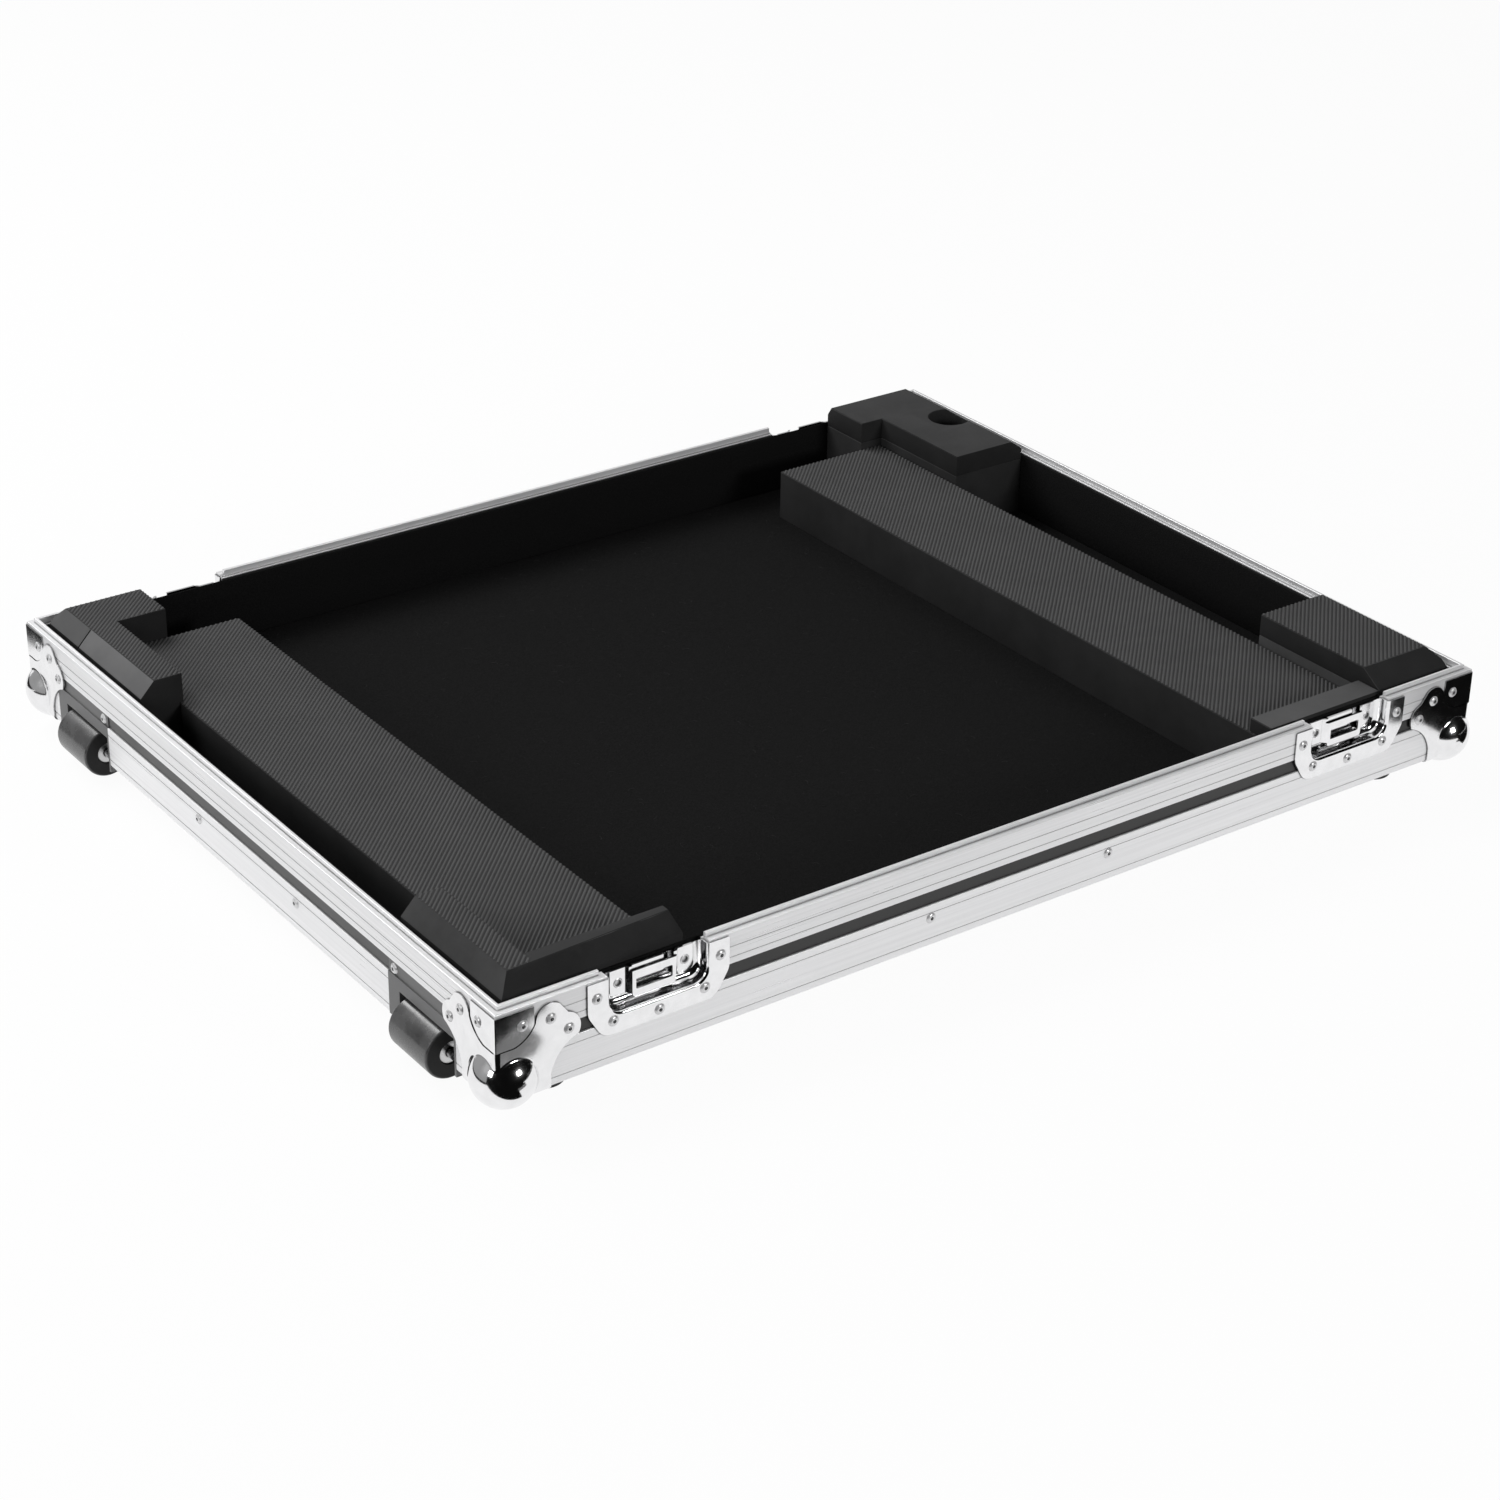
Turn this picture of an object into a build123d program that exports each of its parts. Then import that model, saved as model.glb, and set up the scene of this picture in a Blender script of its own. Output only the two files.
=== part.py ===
from build123d import *
import os

os.makedirs("parts", exist_ok=True)

# Case tray, measured over its aluminium edges; heights count from the edging's underside
case_length = 796.0
case_depth = 629.0
rim_top = 62.0
rim_face_height = 22.0
edging_height = 30.0

# Sheet and board thicknesses
edging_wall = 1.5
board_thickness = 6.0
base_thickness = 7.0
lining_thickness = 3.0
corner_sheet = 1.3
corner_inner_round = 1.5
brace_sheet = 0.8
latch_sheet = 1.2
keeper_sheet = 1.5
housing_wall = 2.0

# Rim extrusion section, depths count inward from its outer face
rim_wall = 1.5
rim_ledge = 4.0
rim_tongue = 2.4
rim_tongue_height = 3.0
rim_shoulder_drop = 2.0
rim_web = 1.6
rim_inner_wall = 1.2
rim_inner_foot = 45.0
groove_depth = 0.25
groove_width = 0.9
rim_groove_drops = (9.9, 17.2)
edging_groove_heights = (6.0, 24.5)
edge_round = 0.5
case_corner_round = 2.5
edging_heel_round = 2.0

# Ball corner outline on one face, counted from the case corner
ball_radius = 21.0
ball_inset = 12.0
ball_blend = 3.0
corner_leg = 36.5
corner_notch_height = 36.0
corner_notch_flat = 12.0
ear_hollow = (21.0, 40.6)
upper_lobe = (37.0, 48.0)
upper_lobe_start = (-10.2, 0.5)
upper_lobe_crest = (-4.0, 9.4)
upper_lobe_end = (6.2, 8.1)
lower_lobe = (49.3, 37.0)
lower_lobe_start = (-0.3, 11.2)
lower_lobe_crest = (6.9, 5.4)
lower_lobe_end = (6.6, -5.5)
ear_waist = (42.6, 22.6)
ear_foot_height = 10.0
corner_reach = 67.0
base_rivet_inset = 31.5
base_leg_round = 8.0

# Brace plate behind the ball corner
brace_width = 26.0
brace_top_gap = 2.2
brace_rivet = (18.0, 49.3)

# Recessed keeper half of each butterfly latch
latch_from_left = 113.0
latch_from_right = 117.0
flange_half = 50.5
flange_top = 60.2
flange_shoulder = 39.0
flange_foot_half = 40.0
flange_foot = 21.5
flange_round = 12.0
dish_half = 34.7
dish_foot = 35.2
dish_corner = 9.0
dish_depth = 9.0
dish_floor_round = 4.5
dish_lip_round = 2.2
flange_rivets = ((44.0, 49.8), (32.7, 30.8), (0.0, 27.3))
tongue_cut_left = 39.5
tongue_cut_right = 36.5
keeper_face_depth = 4.3
keeper_face_half = 15.6
keeper_face_bottom = 37.8
keeper_face_top = 55.8
keeper_face_round = 2.8
keeper_tab_inner = 18.8
keeper_tab_outer = 29.5
keeper_tab_bottom = 41.0
keeper_tab_top = 58.5
keeper_tab_round = 3.0
keeper_slot_length = 26.0
keeper_slot_height = 7.8
keeper_slot_centre = 46.9
keeper_slot_round = 1.0
keeper_rivet = (23.8, 49.3)
lip_start = -15.0
lip_end = 7.5
lip_top = 59.2
lip_step = 1.6

# Recessed rollers on the left side
roller_radius = 17.8
roller_length = 44.5
roller_from_end = 84.5
roller_axis_inset = 6.7
roller_axis_height = 1.5
roller_edge_round = 1.5
roller_bore = 4.5
bearing_radius = 8.0
bearing_length = 5.0
bearing_sink = 1.2
axle_radius = 3.0
axle_chamfer = 0.4
slot_front_gap = 14.75
slot_rear_gap = 3.75
slot_top_gap = 2.2
housing_plate_top = 30.3
housing_flange_top = 39.0
housing_foot = -4.5
housing_flange_step = 0.9
housing_rivet_half = 32.5
housing_rivet_height = 34.2

# Rubber feet
foot_height = 18.0
foot_from_side = 53.0
foot_from_face = 34.0
foot_top_radius = 15.0
foot_bottom_radius = 13.0
foot_round = 1.5
foot_well_radius = 6.5
foot_well_depth = 7.0
screw_radius = 2.4
screw_head_radius = 4.5
screw_head_height = 3.0
screw_bite = 6.0
screw_head_round = 1.0
screw_recess = (4.4, 1.0, 2.4)

# Pop rivets
rivet_head_radius = 3.7
rivet_head_height = 1.3
rivet_shank_radius = 1.6
rivet_core_radius = 1.2
rivet_core_depth = 0.9
rivet_tail_gap = 0.5
rivet_crown = (0.62, 0.78)
keeper_rivet_head = 3.3
keeper_rivet_height = 0.35
keeper_rivet_shank = 2.7
keeper_rivet_core = 2.2
keeper_rivet_reach = 3.2
front_edging_rivets = (319.0, 465.3)
side_edging_rivets = (239.5, 371.4)
edging_rivet_height = 20.5

# Foam, each piece counted from the outer faces of the sides that it stands against
riser_top = 51.5
left_riser_start = 41.0
left_riser_end = 136.5
right_riser_inner = 179.3
right_riser_outer = 80.5
foam_top = 73.5
foam_layer = 57.0
foam_bevel_foot = 62.0
front_left_arm_end = 127.0
front_left_arm_width = 34.0
front_left_reach = 139.0
front_left_ridge = 10.5
front_arm_ridge = 16.2
front_arm_foot = 65.0
rear_left_arm_reach = 155.5
rear_left_inner = 43.5
rear_left_reach = 80.5
rear_arm_width = 57.7
rear_bevel_run = 6.0
rear_bevel_foot = 66.5
seam_from_rear = 59.0
seam_width = 0.8
seam_depth = 2.0
rear_right_reach = 99.0
rear_right_arm_reach = 154.0
rear_right_inner = 78.5
tall_block_width = 78.0
tall_block_back = 131.0
tall_front_ridge = 28.5
side_bevel_run = 6.2
side_bevel_foot = 66.0
rear_right_side_run = 11.0
rear_right_back_run = 4.7
hole_radius = 16.5
hole_from_right = 31.5
hole_from_rear = 85.0
strip_back = 32.4
strip_top = 62.0

# Clearances
running_clearance = 0.05
seat_clearance = 0.1
body_clearance = 0.3
pocket_clearance = 0.8

# How far a cutting shape runs past what it cuts
past = 9.0

half_length = case_length / 2
half_depth = case_depth / 2
board_back = rim_wall + board_thickness
tongue_back = rim_ledge + rim_tongue
# The rim's channel grips the board, so its shoulder is as wide as what is left behind the tongue
rim_shoulder = board_back + seat_clearance + rim_inner_wall - tongue_back
rim_depth = tongue_back + rim_shoulder
shoulder_top = rim_top - rim_shoulder_drop
rim_face_foot = rim_top - rim_face_height
lining_face = rim_depth + lining_thickness
floor_level = edging_wall + base_thickness
lining_floor = floor_level + lining_thickness
lining_top = shoulder_top - edge_round
left_overhang = roller_radius - roller_axis_inset
corner_overhang = ball_radius - ball_inset
centre_shift = (left_overhang - corner_overhang) / 2
dish_back = dish_depth + latch_sheet
rivet_reach = board_back - rivet_tail_gap
slot_front = roller_length / 2 + slot_front_gap
slot_rear = roller_length / 2 + slot_rear_gap
slot_top = roller_axis_height + roller_radius + slot_top_gap
to_frame = Pos(centre_shift, 0, foot_height)
sides = (-1, 1)
corner_names = {(-1, -1): "front_left", (1, -1): "front_right",
                (-1, 1): "rear_left", (1, 1): "rear_right"}
written = []


def save(shape, name):
    export_step(to_frame * Compound(children=list(shape.solids())), f"parts/{name}.step")
    written.append(name)


def block(x0, x1, y0, y1, z0, z1):
    return Pos((x0 + x1) / 2, (y0 + y1) / 2, (z0 + z1) / 2) * Box(x1 - x0, y1 - y0, z1 - z0)


def tray_block(x0, x1, y0, y1, z0, z1):
    """A block placed by distances from the left and front outer faces."""
    return Pos(-half_length, -half_depth, 0) * block(x0, x1, y0, y1, z0, z1)


def fuse(shapes):
    shapes = list(shapes)
    return shapes[0].fuse(*shapes[1:]) if len(shapes) > 1 else shapes[0]


def group(shapes):
    """Separate solids kept side by side in one shape."""
    return Compound(children=[solid for shape in shapes for solid in shape.solids()])


def common(shape, other):
    """The solid that two shapes share."""
    return fuse(shape.intersect(other).solids())


def to_corner(shape, side, end):
    """Move a shape drawn at the front left corner to any of the four corners."""
    if side > 0:
        shape = mirror(shape, Plane.YZ)
    if end > 0:
        shape = mirror(shape, Plane.XZ)
    return Pos(side * half_length, end * half_depth, 0) * shape


def to_face(shape, end, x):
    """Move a shape drawn on the front face, centred on x = 0, to the front or rear face."""
    turn = Rot(0, 0, 180) if end > 0 else Rot(0, 0, 0)
    return Pos(x, end * half_depth, 0) * turn * shape


def face_site(end, x, z, seat):
    return Plane(origin=(x, end * (half_depth + seat), z), z_dir=(0, end, 0)).location


def side_site(side, y, z, seat):
    return Plane(origin=(side * (half_length + seat), y, z), z_dir=(side, 0, 0)).location


# Rivets, with the sites that share the same holes through sheet, rim, edging and board
def rivet(head, height, shank, core, core_depth, tail):
    crown = (core + (head - core) * rivet_crown[0], height * rivet_crown[1])
    with BuildSketch(Plane.XZ) as section:
        with BuildLine():
            Polyline((0, height - core_depth), (core, height - core_depth), (core, height))
            ThreePointArc((core, height), crown, (head, 0))
            Polyline((head, 0), (shank, 0), (shank, -tail), (0, -tail), (0, height - core_depth))
        make_face()
    return revolve(section.sketch, Axis.Z)


def pop_rivet(seat):
    return rivet(rivet_head_radius, rivet_head_height, rivet_shank_radius,
                 rivet_core_radius, rivet_core_depth, rivet_reach + seat)


def rivet_hole(site, seat):
    deep = rivet_reach + seat + seat_clearance
    radius = rivet_shank_radius + seat_clearance
    return site * Pos(0, 0, -deep / 2) * Cylinder(radius, deep)


corner_sites = []
brace_sites = []
base_sites = []
for side in sides:
    for end in sides:
        for out, up in (upper_lobe, lower_lobe):
            corner_sites.append(face_site(end, side * (half_length - out), up, corner_sheet))
            corner_sites.append(side_site(side, end * (half_depth - out), up, corner_sheet))
        out, up = brace_rivet
        brace_sites.append(face_site(end, side * (half_length - out), up, brace_sheet))
        brace_sites.append(side_site(side, end * (half_depth - out), up, brace_sheet))
        place = (side * (half_length - base_rivet_inset), end * (half_depth - base_rivet_inset),
                 -corner_sheet)
        base_sites.append(Plane(origin=place, z_dir=(0, 0, -1)).location)

latch_places = [(end, side, x) for end in sides
                for side, x in ((-1, latch_from_left - half_length), (1, half_length - latch_from_right))]
latch_sites = []
for end, side, x in latch_places:
    for out, up in flange_rivets:
        for across in sorted({-out, out}):
            latch_sites.append(face_site(end, x + across, up, latch_sheet))

edging_sites = []
for end in sides:
    for along in front_edging_rivets:
        edging_sites.append(face_site(end, along - half_length, edging_rivet_height, 0))
for side in sides:
    for along in side_edging_rivets:
        edging_sites.append(side_site(side, along - half_depth, edging_rivet_height, 0))

housing_seat = -housing_flange_step
housing_sites = []
for end in sides:
    along = end * (half_depth - roller_from_end - housing_rivet_half)
    housing_sites.append(side_site(-1, along, housing_rivet_height, housing_seat))

rivet_holes = group(
    [rivet_hole(site, corner_sheet) for site in corner_sites]
    + [rivet_hole(site, brace_sheet) for site in brace_sites]
    + [rivet_hole(site, corner_sheet) for site in base_sites]
    + [rivet_hole(site, latch_sheet) for site in latch_sites]
    + [rivet_hole(site, 0) for site in edging_sites]
    + [rivet_hole(site, housing_seat) for site in housing_sites]
)

save(group([site * pop_rivet(corner_sheet) for site in corner_sites + base_sites]
          + [site * pop_rivet(brace_sheet) for site in brace_sites]), "corner_rivets")
save(group([site * pop_rivet(0) for site in edging_sites]
          + [site * pop_rivet(housing_seat) for site in housing_sites]), "edging_rivets")


# Spaces that other pieces need in the boards, rims and linings
def pocket_outline(grow, top):
    """Dish opening seen from the front, round at its lower corners."""
    half = dish_half + grow
    foot = dish_foot - grow
    with BuildSketch(Plane.XZ) as outline:
        with BuildLine():
            Polyline((-half, foot), (half, foot), (half, top), (-half, top), (-half, foot))
        make_face()
        lower = outline.vertices().group_by(Axis.Y)[0]
        fillet(lower, dish_corner + grow)
    return outline.sketch


def pocket(grow, top, y0, y1, floor_round=0.0):
    body = extrude(pocket_outline(grow, top), -(y1 - y0))
    if floor_round:
        body = fillet(body.faces().sort_by(Axis.Y)[-1].edges(), floor_round)
    return Pos(0, y0, 0) * body


def latch_spaces(end, depth):
    """Square openings that clear the dishes, from just outside the face to a depth."""
    half = dish_half + latch_sheet + body_clearance
    foot = dish_foot - latch_sheet - body_clearance
    opening = block(-half, half, -past, depth, foot, rim_top + past)
    places = [x for face_end, side, x in latch_places if face_end == end]
    return group([to_face(opening, end, x) for x in places])


housing_depth = roller_axis_inset + roller_radius + pocket_clearance + housing_wall
housing_front = slot_front + housing_wall
housing_rear = slot_rear + housing_wall
housing_top = slot_top + housing_wall
housing_plate_half = housing_front


def housing_spaces(grow):
    """The room each roller housing takes behind the left face."""
    rooms = []
    for end in sides:
        middle = end * (half_depth - roller_from_end)
        y0 = middle - housing_front - grow
        y1 = middle + housing_rear + grow
        x1 = -half_length + housing_depth + grow
        rooms.append(block(-half_length - past, x1, y0, y1, housing_foot - past, housing_top + grow))
    return group(rooms)


def plate_spaces():
    """The part of the left edging's upright leg that each housing plate replaces."""
    rooms = []
    for end in sides:
        middle = end * (half_depth - roller_from_end)
        half = housing_plate_half + seat_clearance
        x0 = -half_length - past
        x1 = -half_length + edging_wall + seat_clearance
        rooms.append(block(x0, x1, middle - half, middle + half, -past, edging_height + past))
    return group(rooms)


# Extruded edges: one section carried round the four sides and mitred
def groove(heights):
    return [block(-case_length, case_length, -past, groove_depth, z - groove_width / 2, z + groove_width / 2)
            for z in heights]


def rim_section():
    foot = rim_face_foot
    web = shoulder_top - rim_web
    points = [(0, foot), (0, rim_top), (rim_ledge, rim_top), (rim_ledge, rim_top + rim_tongue_height),
              (tongue_back, rim_top + rim_tongue_height), (tongue_back, shoulder_top),
              (rim_depth, shoulder_top), (rim_depth, rim_inner_foot),
              (rim_depth - rim_inner_wall, rim_inner_foot), (rim_depth - rim_inner_wall, web),
              (rim_wall, web), (rim_wall, foot)]
    with BuildSketch(Plane.YZ) as section:
        with BuildLine():
            Polyline(*points, close=True)
        make_face()
        tongue_top = rim_top + rim_tongue_height
        rounded = [(0, rim_top), (rim_ledge, tongue_top), (tongue_back, tongue_top)]
        crests = [v for v in section.vertices()
                  if min(abs(v.X - a) + abs(v.Y - b) for a, b in rounded) < 0.01]
        fillet(crests, edge_round)
    return section.sketch


def edging_section():
    points = [(0, 0), (0, edging_height), (edging_wall, edging_height), (edging_wall, edging_wall),
              (edging_height, edging_wall), (edging_height, 0)]
    with BuildSketch(Plane.YZ) as section:
        with BuildLine():
            Polyline(*points, close=True)
        make_face()
        heel = [v for v in section.vertices() if v.X < 0.01 and v.Y < 0.01]
        fillet(heel, edging_heel_round)
        crest = [v for v in section.vertices() if v.X < 0.01 and v.Y > edging_height - 0.01]
        fillet(crest, edge_round)
    return section.sketch


def mitred(section, length, grooves):
    """A length of section along X with its outer face on y = 0, mitred at both ends."""
    body = extrude(section, length, both=True).cut(*grooves)
    wedge = Polyline((-length / 2, 0), (length / 2, 0), (0, length / 2), close=True)
    keep = Pos(0, 0, -past) * extrude(make_face(wedge), rim_top + 3 * past)
    return common(body, keep)


def ring(section, grooves):
    """The four mitred lengths in place: front, rear, left, right."""
    long_side = mitred(section, case_length, grooves)
    short_side = mitred(section, case_depth, grooves)
    return {
        "front": Pos(0, -half_depth, 0) * long_side,
        "rear": Pos(0, half_depth, 0) * Rot(0, 0, 180) * long_side,
        "left": Pos(-half_length, 0, 0) * Rot(0, 0, -90) * short_side,
        "right": Pos(half_length, 0, 0) * Rot(0, 0, 90) * short_side,
    }


rims = ring(rim_section(), groove([rim_top - drop for drop in rim_groove_drops]))
for end, name in ((-1, "front"), (1, "rear")):
    tongue_gap = block(-tongue_cut_left, tongue_cut_right, -past, rim_depth + past, rim_top, rim_top + past)
    gaps = [to_face(tongue_gap, end, x) for face_end, side, x in latch_places if face_end == end]
    lengths = rims[name].cut(latch_spaces(end, rim_depth + past), *gaps, rivet_holes)
    pieces = lengths.solids().sort_by(Axis.X)
    for piece, part_of in zip(pieces, ("left", "middle", "right")):
        save(piece, f"{name}_rim_{part_of}")
for name in ("left", "right"):
    save(rims[name].cut(rivet_holes), f"{name}_rim")

rounded_case = Pos(0, 0, edging_height / 2) * extrude(
    RectangleRounded(case_length, case_depth, case_corner_round), edging_height, both=True)
edgings = ring(edging_section(), groove(edging_groove_heights))
for name, body in edgings.items():
    body = common(body, rounded_case).cut(rivet_holes)
    if name == "left":
        body = body.cut(housing_spaces(body_clearance), plate_spaces())
    save(body, f"{name}_edging")

# Plywood tray
board_top = shoulder_top - rim_web - seat_clearance
for end, name in ((-1, "front"), (1, "rear")):
    board = to_face(block(-half_length + rim_wall, half_length - rim_wall, rim_wall, board_back,
                          edging_wall, board_top), end, 0)
    board = board.cut(latch_spaces(end, board_back + past), rivet_holes, housing_spaces(body_clearance))
    save(board, f"{name}_board")
for side, name in ((-1, "left"), (1, "right")):
    x0, x1 = sorted((side * (half_length - rim_wall), side * (half_length - board_back)))
    board = block(x0, x1, -half_depth + board_back, half_depth - board_back, edging_wall, board_top)
    board = board.cut(rivet_holes, housing_spaces(body_clearance))
    save(board, f"{name}_board")

foot_places = [(side * (half_length - foot_from_side), end * (half_depth - foot_from_face))
               for side in sides for end in sides]
screw_holes = [Pos(x, y, floor_level / 2) * Cylinder(screw_radius + seat_clearance, floor_level)
               for x, y in foot_places]
base = block(-half_length + board_back, half_length - board_back,
             -half_depth + board_back, half_depth - board_back, edging_wall, floor_level)
save(base.cut(housing_spaces(body_clearance), rivet_holes, *screw_holes), "base_board")

# Felt lining; the wall pieces step back under the rim's inner leg
lining_base = block(-half_length + board_back, half_length - board_back,
                    -half_depth + board_back, half_depth - board_back, floor_level, lining_floor)
save(lining_base.cut(housing_spaces(body_clearance)), "floor_lining")


def wall_lining(length):
    upper = block(-length / 2, length / 2, rim_depth, lining_face, lining_floor, lining_top)
    lower = block(-length / 2, length / 2, board_back, lining_face, lining_floor, rim_inner_foot)
    return fuse([upper, lower])


for end, name in ((-1, "front"), (1, "rear")):
    lining = to_face(wall_lining(case_length - 2 * rim_depth), end, 0)
    save(lining.cut(latch_spaces(end, dish_back + pocket_clearance), housing_spaces(body_clearance)),
         f"{name}_lining")
for side, name in ((-1, "left"), (1, "right")):
    lining = wall_lining(case_depth - 2 * lining_face)
    lining = Pos(side * half_length, 0, 0) * Rot(0, 0, 90 * side) * lining
    save(lining.cut(housing_spaces(body_clearance)), f"{name}_lining")


# Ball corners and the braces behind them
def corner_outline():
    """One face of the ball corner: a leg and an ear with two round lobes."""
    upper = [(upper_lobe[0] + out, upper_lobe[1] + up)
             for out, up in (upper_lobe_start, upper_lobe_crest, upper_lobe_end)]
    lower = [(lower_lobe[0] + out, lower_lobe[1] + up)
             for out, up in (lower_lobe_start, lower_lobe_crest, lower_lobe_end)]
    notch = (corner_notch_flat, corner_notch_height)
    foot = (corner_leg, ear_foot_height)
    edge = -corner_sheet
    with BuildSketch(Plane.XZ) as outline:
        with BuildLine():
            Polyline((edge, edge), (edge, corner_notch_height), notch)
            ThreePointArc(notch, ear_hollow, upper[0])
            ThreePointArc(*upper)
            Line(upper[2], lower[0])
            ThreePointArc(*lower)
            ThreePointArc(lower[2], ear_waist, foot)
            Polyline(foot, (corner_leg, edge), (edge, edge))
        make_face()
    return outline.sketch


def corner_prisms(grow, depth):
    """The face outline stood on the front face and, mirrored, on the side face."""
    outline = corner_outline()
    if grow:
        outline = offset(outline, grow)
    front = Pos(0, depth, 0) * extrude(outline, depth + 2 * corner_sheet)
    return [front, mirror(front, Plane(origin=(0, 0, 0), z_dir=(1, -1, 0)))]


def rounded_block(start, size, radius):
    body = block(start, size, start, size, start, size)
    edges = [edge for edge in body.edges()
             if sum(abs(distance - start) < 0.01 for distance in tuple(edge.center())) == 2]
    return fillet(edges, radius)


def on_ball_seam(edge):
    """True for the edges where the ball leaves the outside of the plates."""
    centre = Vector(ball_inset, ball_inset, ball_inset)
    points = [edge.position_at(share) for share in (0.1, 0.5, 0.9)]
    lowest = min(tuple(points[1]))
    return (all(abs((point - centre).length - ball_radius) < 0.02 for point in points)
            and -corner_sheet - 0.1 < lowest < 0)


def ball_corner():
    size = corner_reach
    skin = case_corner_round + corner_sheet
    base_leg = extrude(Pos(-corner_sheet, -corner_sheet) * RectangleRounded(
        2 * corner_leg + corner_sheet, 2 * corner_leg + corner_sheet, base_leg_round), 2 * skin, both=True)
    legs = fuse(corner_prisms(0, skin) + [common(base_leg, block(-past, size, -past, size, -past, skin))])
    outer = common(rounded_block(-corner_sheet, size, skin), legs)
    ball = Pos(ball_inset, ball_inset, ball_inset) * Sphere(ball_radius)
    hollow = Pos(ball_inset, ball_inset, ball_inset) * Sphere(ball_radius - corner_sheet)
    inside = rounded_block(0, 2 * size, corner_inner_round)
    whole = outer.fuse(ball)
    seam = [edge for edge in whole.edges() if on_ball_seam(edge)]
    return whole.fillet(ball_blend, seam).cut(inside, hollow)


corner = ball_corner()
brace_floor = corner_notch_height - corner_sheet
brace_top = rim_top - brace_top_gap
brace_shell = block(-brace_sheet, brace_width, -brace_sheet, brace_width, brace_floor, brace_top)
brace_edge = brace_shell.edges().filter_by(Axis.Z).sort_by(lambda edge: edge.center().X + edge.center().Y)[0]
brace_shell = fillet(brace_edge, brace_sheet)
brace_inside = block(0, 2 * brace_width, 0, 2 * brace_width, brace_floor - past, brace_top + past)
brace = brace_shell.cut(brace_inside, *corner_prisms(body_clearance, brace_width))
for (side, end), name in corner_names.items():
    save(to_corner(corner, side, end).cut(rivet_holes), f"{name}_ball_corner")
    save(to_corner(brace, side, end).cut(rivet_holes), f"{name}_rim_brace")


# Latch dishes and keepers
def latch_dish():
    with BuildSketch(Plane.XZ) as outline:
        with BuildLine():
            Polyline((-flange_half, flange_top), (-flange_half, flange_shoulder),
                     (-flange_foot_half, flange_foot), (flange_foot_half, flange_foot),
                     (flange_half, flange_shoulder), (flange_half, flange_top), close=True)
        make_face()
        fillet(outline.vertices().group_by(Axis.Y)[-1], edge_round)
        fillet(outline.vertices().filter_by(lambda v: v.Y < flange_shoulder + 0.1), flange_round)
    flange = extrude(outline.sketch, latch_sheet)
    shell = pocket(latch_sheet, flange_top, -latch_sheet, dish_back, dish_floor_round + latch_sheet)
    opening = pocket(0, flange_top + past, -past, dish_depth, dish_floor_round)
    dish = flange.fuse(shell).cut(opening)
    lip = [edge for edge in dish.edges() if abs(edge.center().Y + latch_sheet) < 0.01
           and abs(edge.center().X) < dish_half + 0.1 and edge.center().Z > dish_foot - 0.5
           and edge.center().Z < flange_top - 1]
    return fillet(lip, dish_lip_round)


def keeper_rivet_part():
    return rivet(keeper_rivet_head, keeper_rivet_height, keeper_rivet_shank, keeper_rivet_core,
                 keeper_sheet, keeper_rivet_reach)


def keeper_rivet_sites():
    out, up = keeper_rivet
    seat = dish_depth - keeper_sheet
    return [Plane(origin=(across, seat, up), z_dir=(0, -1, 0)).location for across in (-out, out)]


def keeper_holes():
    radius = keeper_rivet_shank + seat_clearance
    return [site * Pos(0, 0, -keeper_rivet_reach / 2) * Cylinder(radius, keeper_rivet_reach + 1)
            for site in keeper_rivet_sites()]


def latch_keeper():
    """A bridge with a slot for the hook, two tabs on the dish floor and a lip along its top."""
    face = keeper_face_depth
    sheet = keeper_sheet
    tab = dish_depth
    with BuildSketch(Plane.XY) as profile:
        with BuildLine():
            Polyline((-keeper_tab_outer, tab - sheet), (-keeper_tab_inner, tab - sheet),
                     (-keeper_face_half, face), (keeper_face_half, face),
                     (keeper_tab_inner, tab - sheet), (keeper_tab_outer, tab - sheet),
                     (keeper_tab_outer, tab), (keeper_tab_inner - sheet / 2, tab),
                     (keeper_face_half - sheet / 2, face + sheet),
                     (sheet / 2 - keeper_face_half, face + sheet),
                     (sheet / 2 - keeper_tab_inner, tab), (-keeper_tab_outer, tab), close=True)
        make_face()
    bridge = Pos(0, 0, keeper_face_bottom) * extrude(profile.sketch, keeper_tab_top - keeper_face_bottom)
    below_tab = block(keeper_face_half, keeper_tab_outer + past, 0, tab + past,
                      keeper_face_bottom - past, keeper_tab_bottom)
    above_face = block(-keeper_face_half - sheet, keeper_face_half + sheet, 0, face + sheet,
                       keeper_face_top, keeper_tab_top + past)
    slot = RectangleRounded(keeper_slot_length, keeper_slot_height, keeper_slot_round)
    slot = Pos(0, 0, keeper_slot_centre) * Rot(90, 0, 0) * extrude(slot, tab, both=True)
    lip_foot = keeper_face_top - 2 * sheet
    lip = block(lip_start, lip_end, face + lip_step, face + lip_step + sheet, lip_foot, lip_top)
    step = block(lip_start, lip_end, face, face + lip_step + sheet, lip_foot, keeper_face_top)
    slot_room = block(-keeper_face_half, keeper_face_half, 0, tab, keeper_face_bottom, lip_foot)
    bridge = bridge.cut(below_tab, mirror(below_tab, Plane.YZ), above_face, slot)
    tab_corners = [edge for edge in bridge.edges().filter_by(Axis.Y)
                   if abs(edge.center().X) > keeper_tab_outer - 0.1
                   and edge.center().Z < keeper_tab_bottom + 0.1]
    bridge = fillet(tab_corners, keeper_tab_round)
    face_corners = [edge for edge in bridge.edges().filter_by(Axis.Y)
                    if abs(abs(edge.center().X) - keeper_face_half) < 0.1
                    and edge.center().Z < keeper_face_bottom + 0.1]
    bridge = fillet(face_corners, keeper_face_round)
    return bridge.fuse(lip, step.cut(slot_room)).cut(*keeper_holes())


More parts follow.
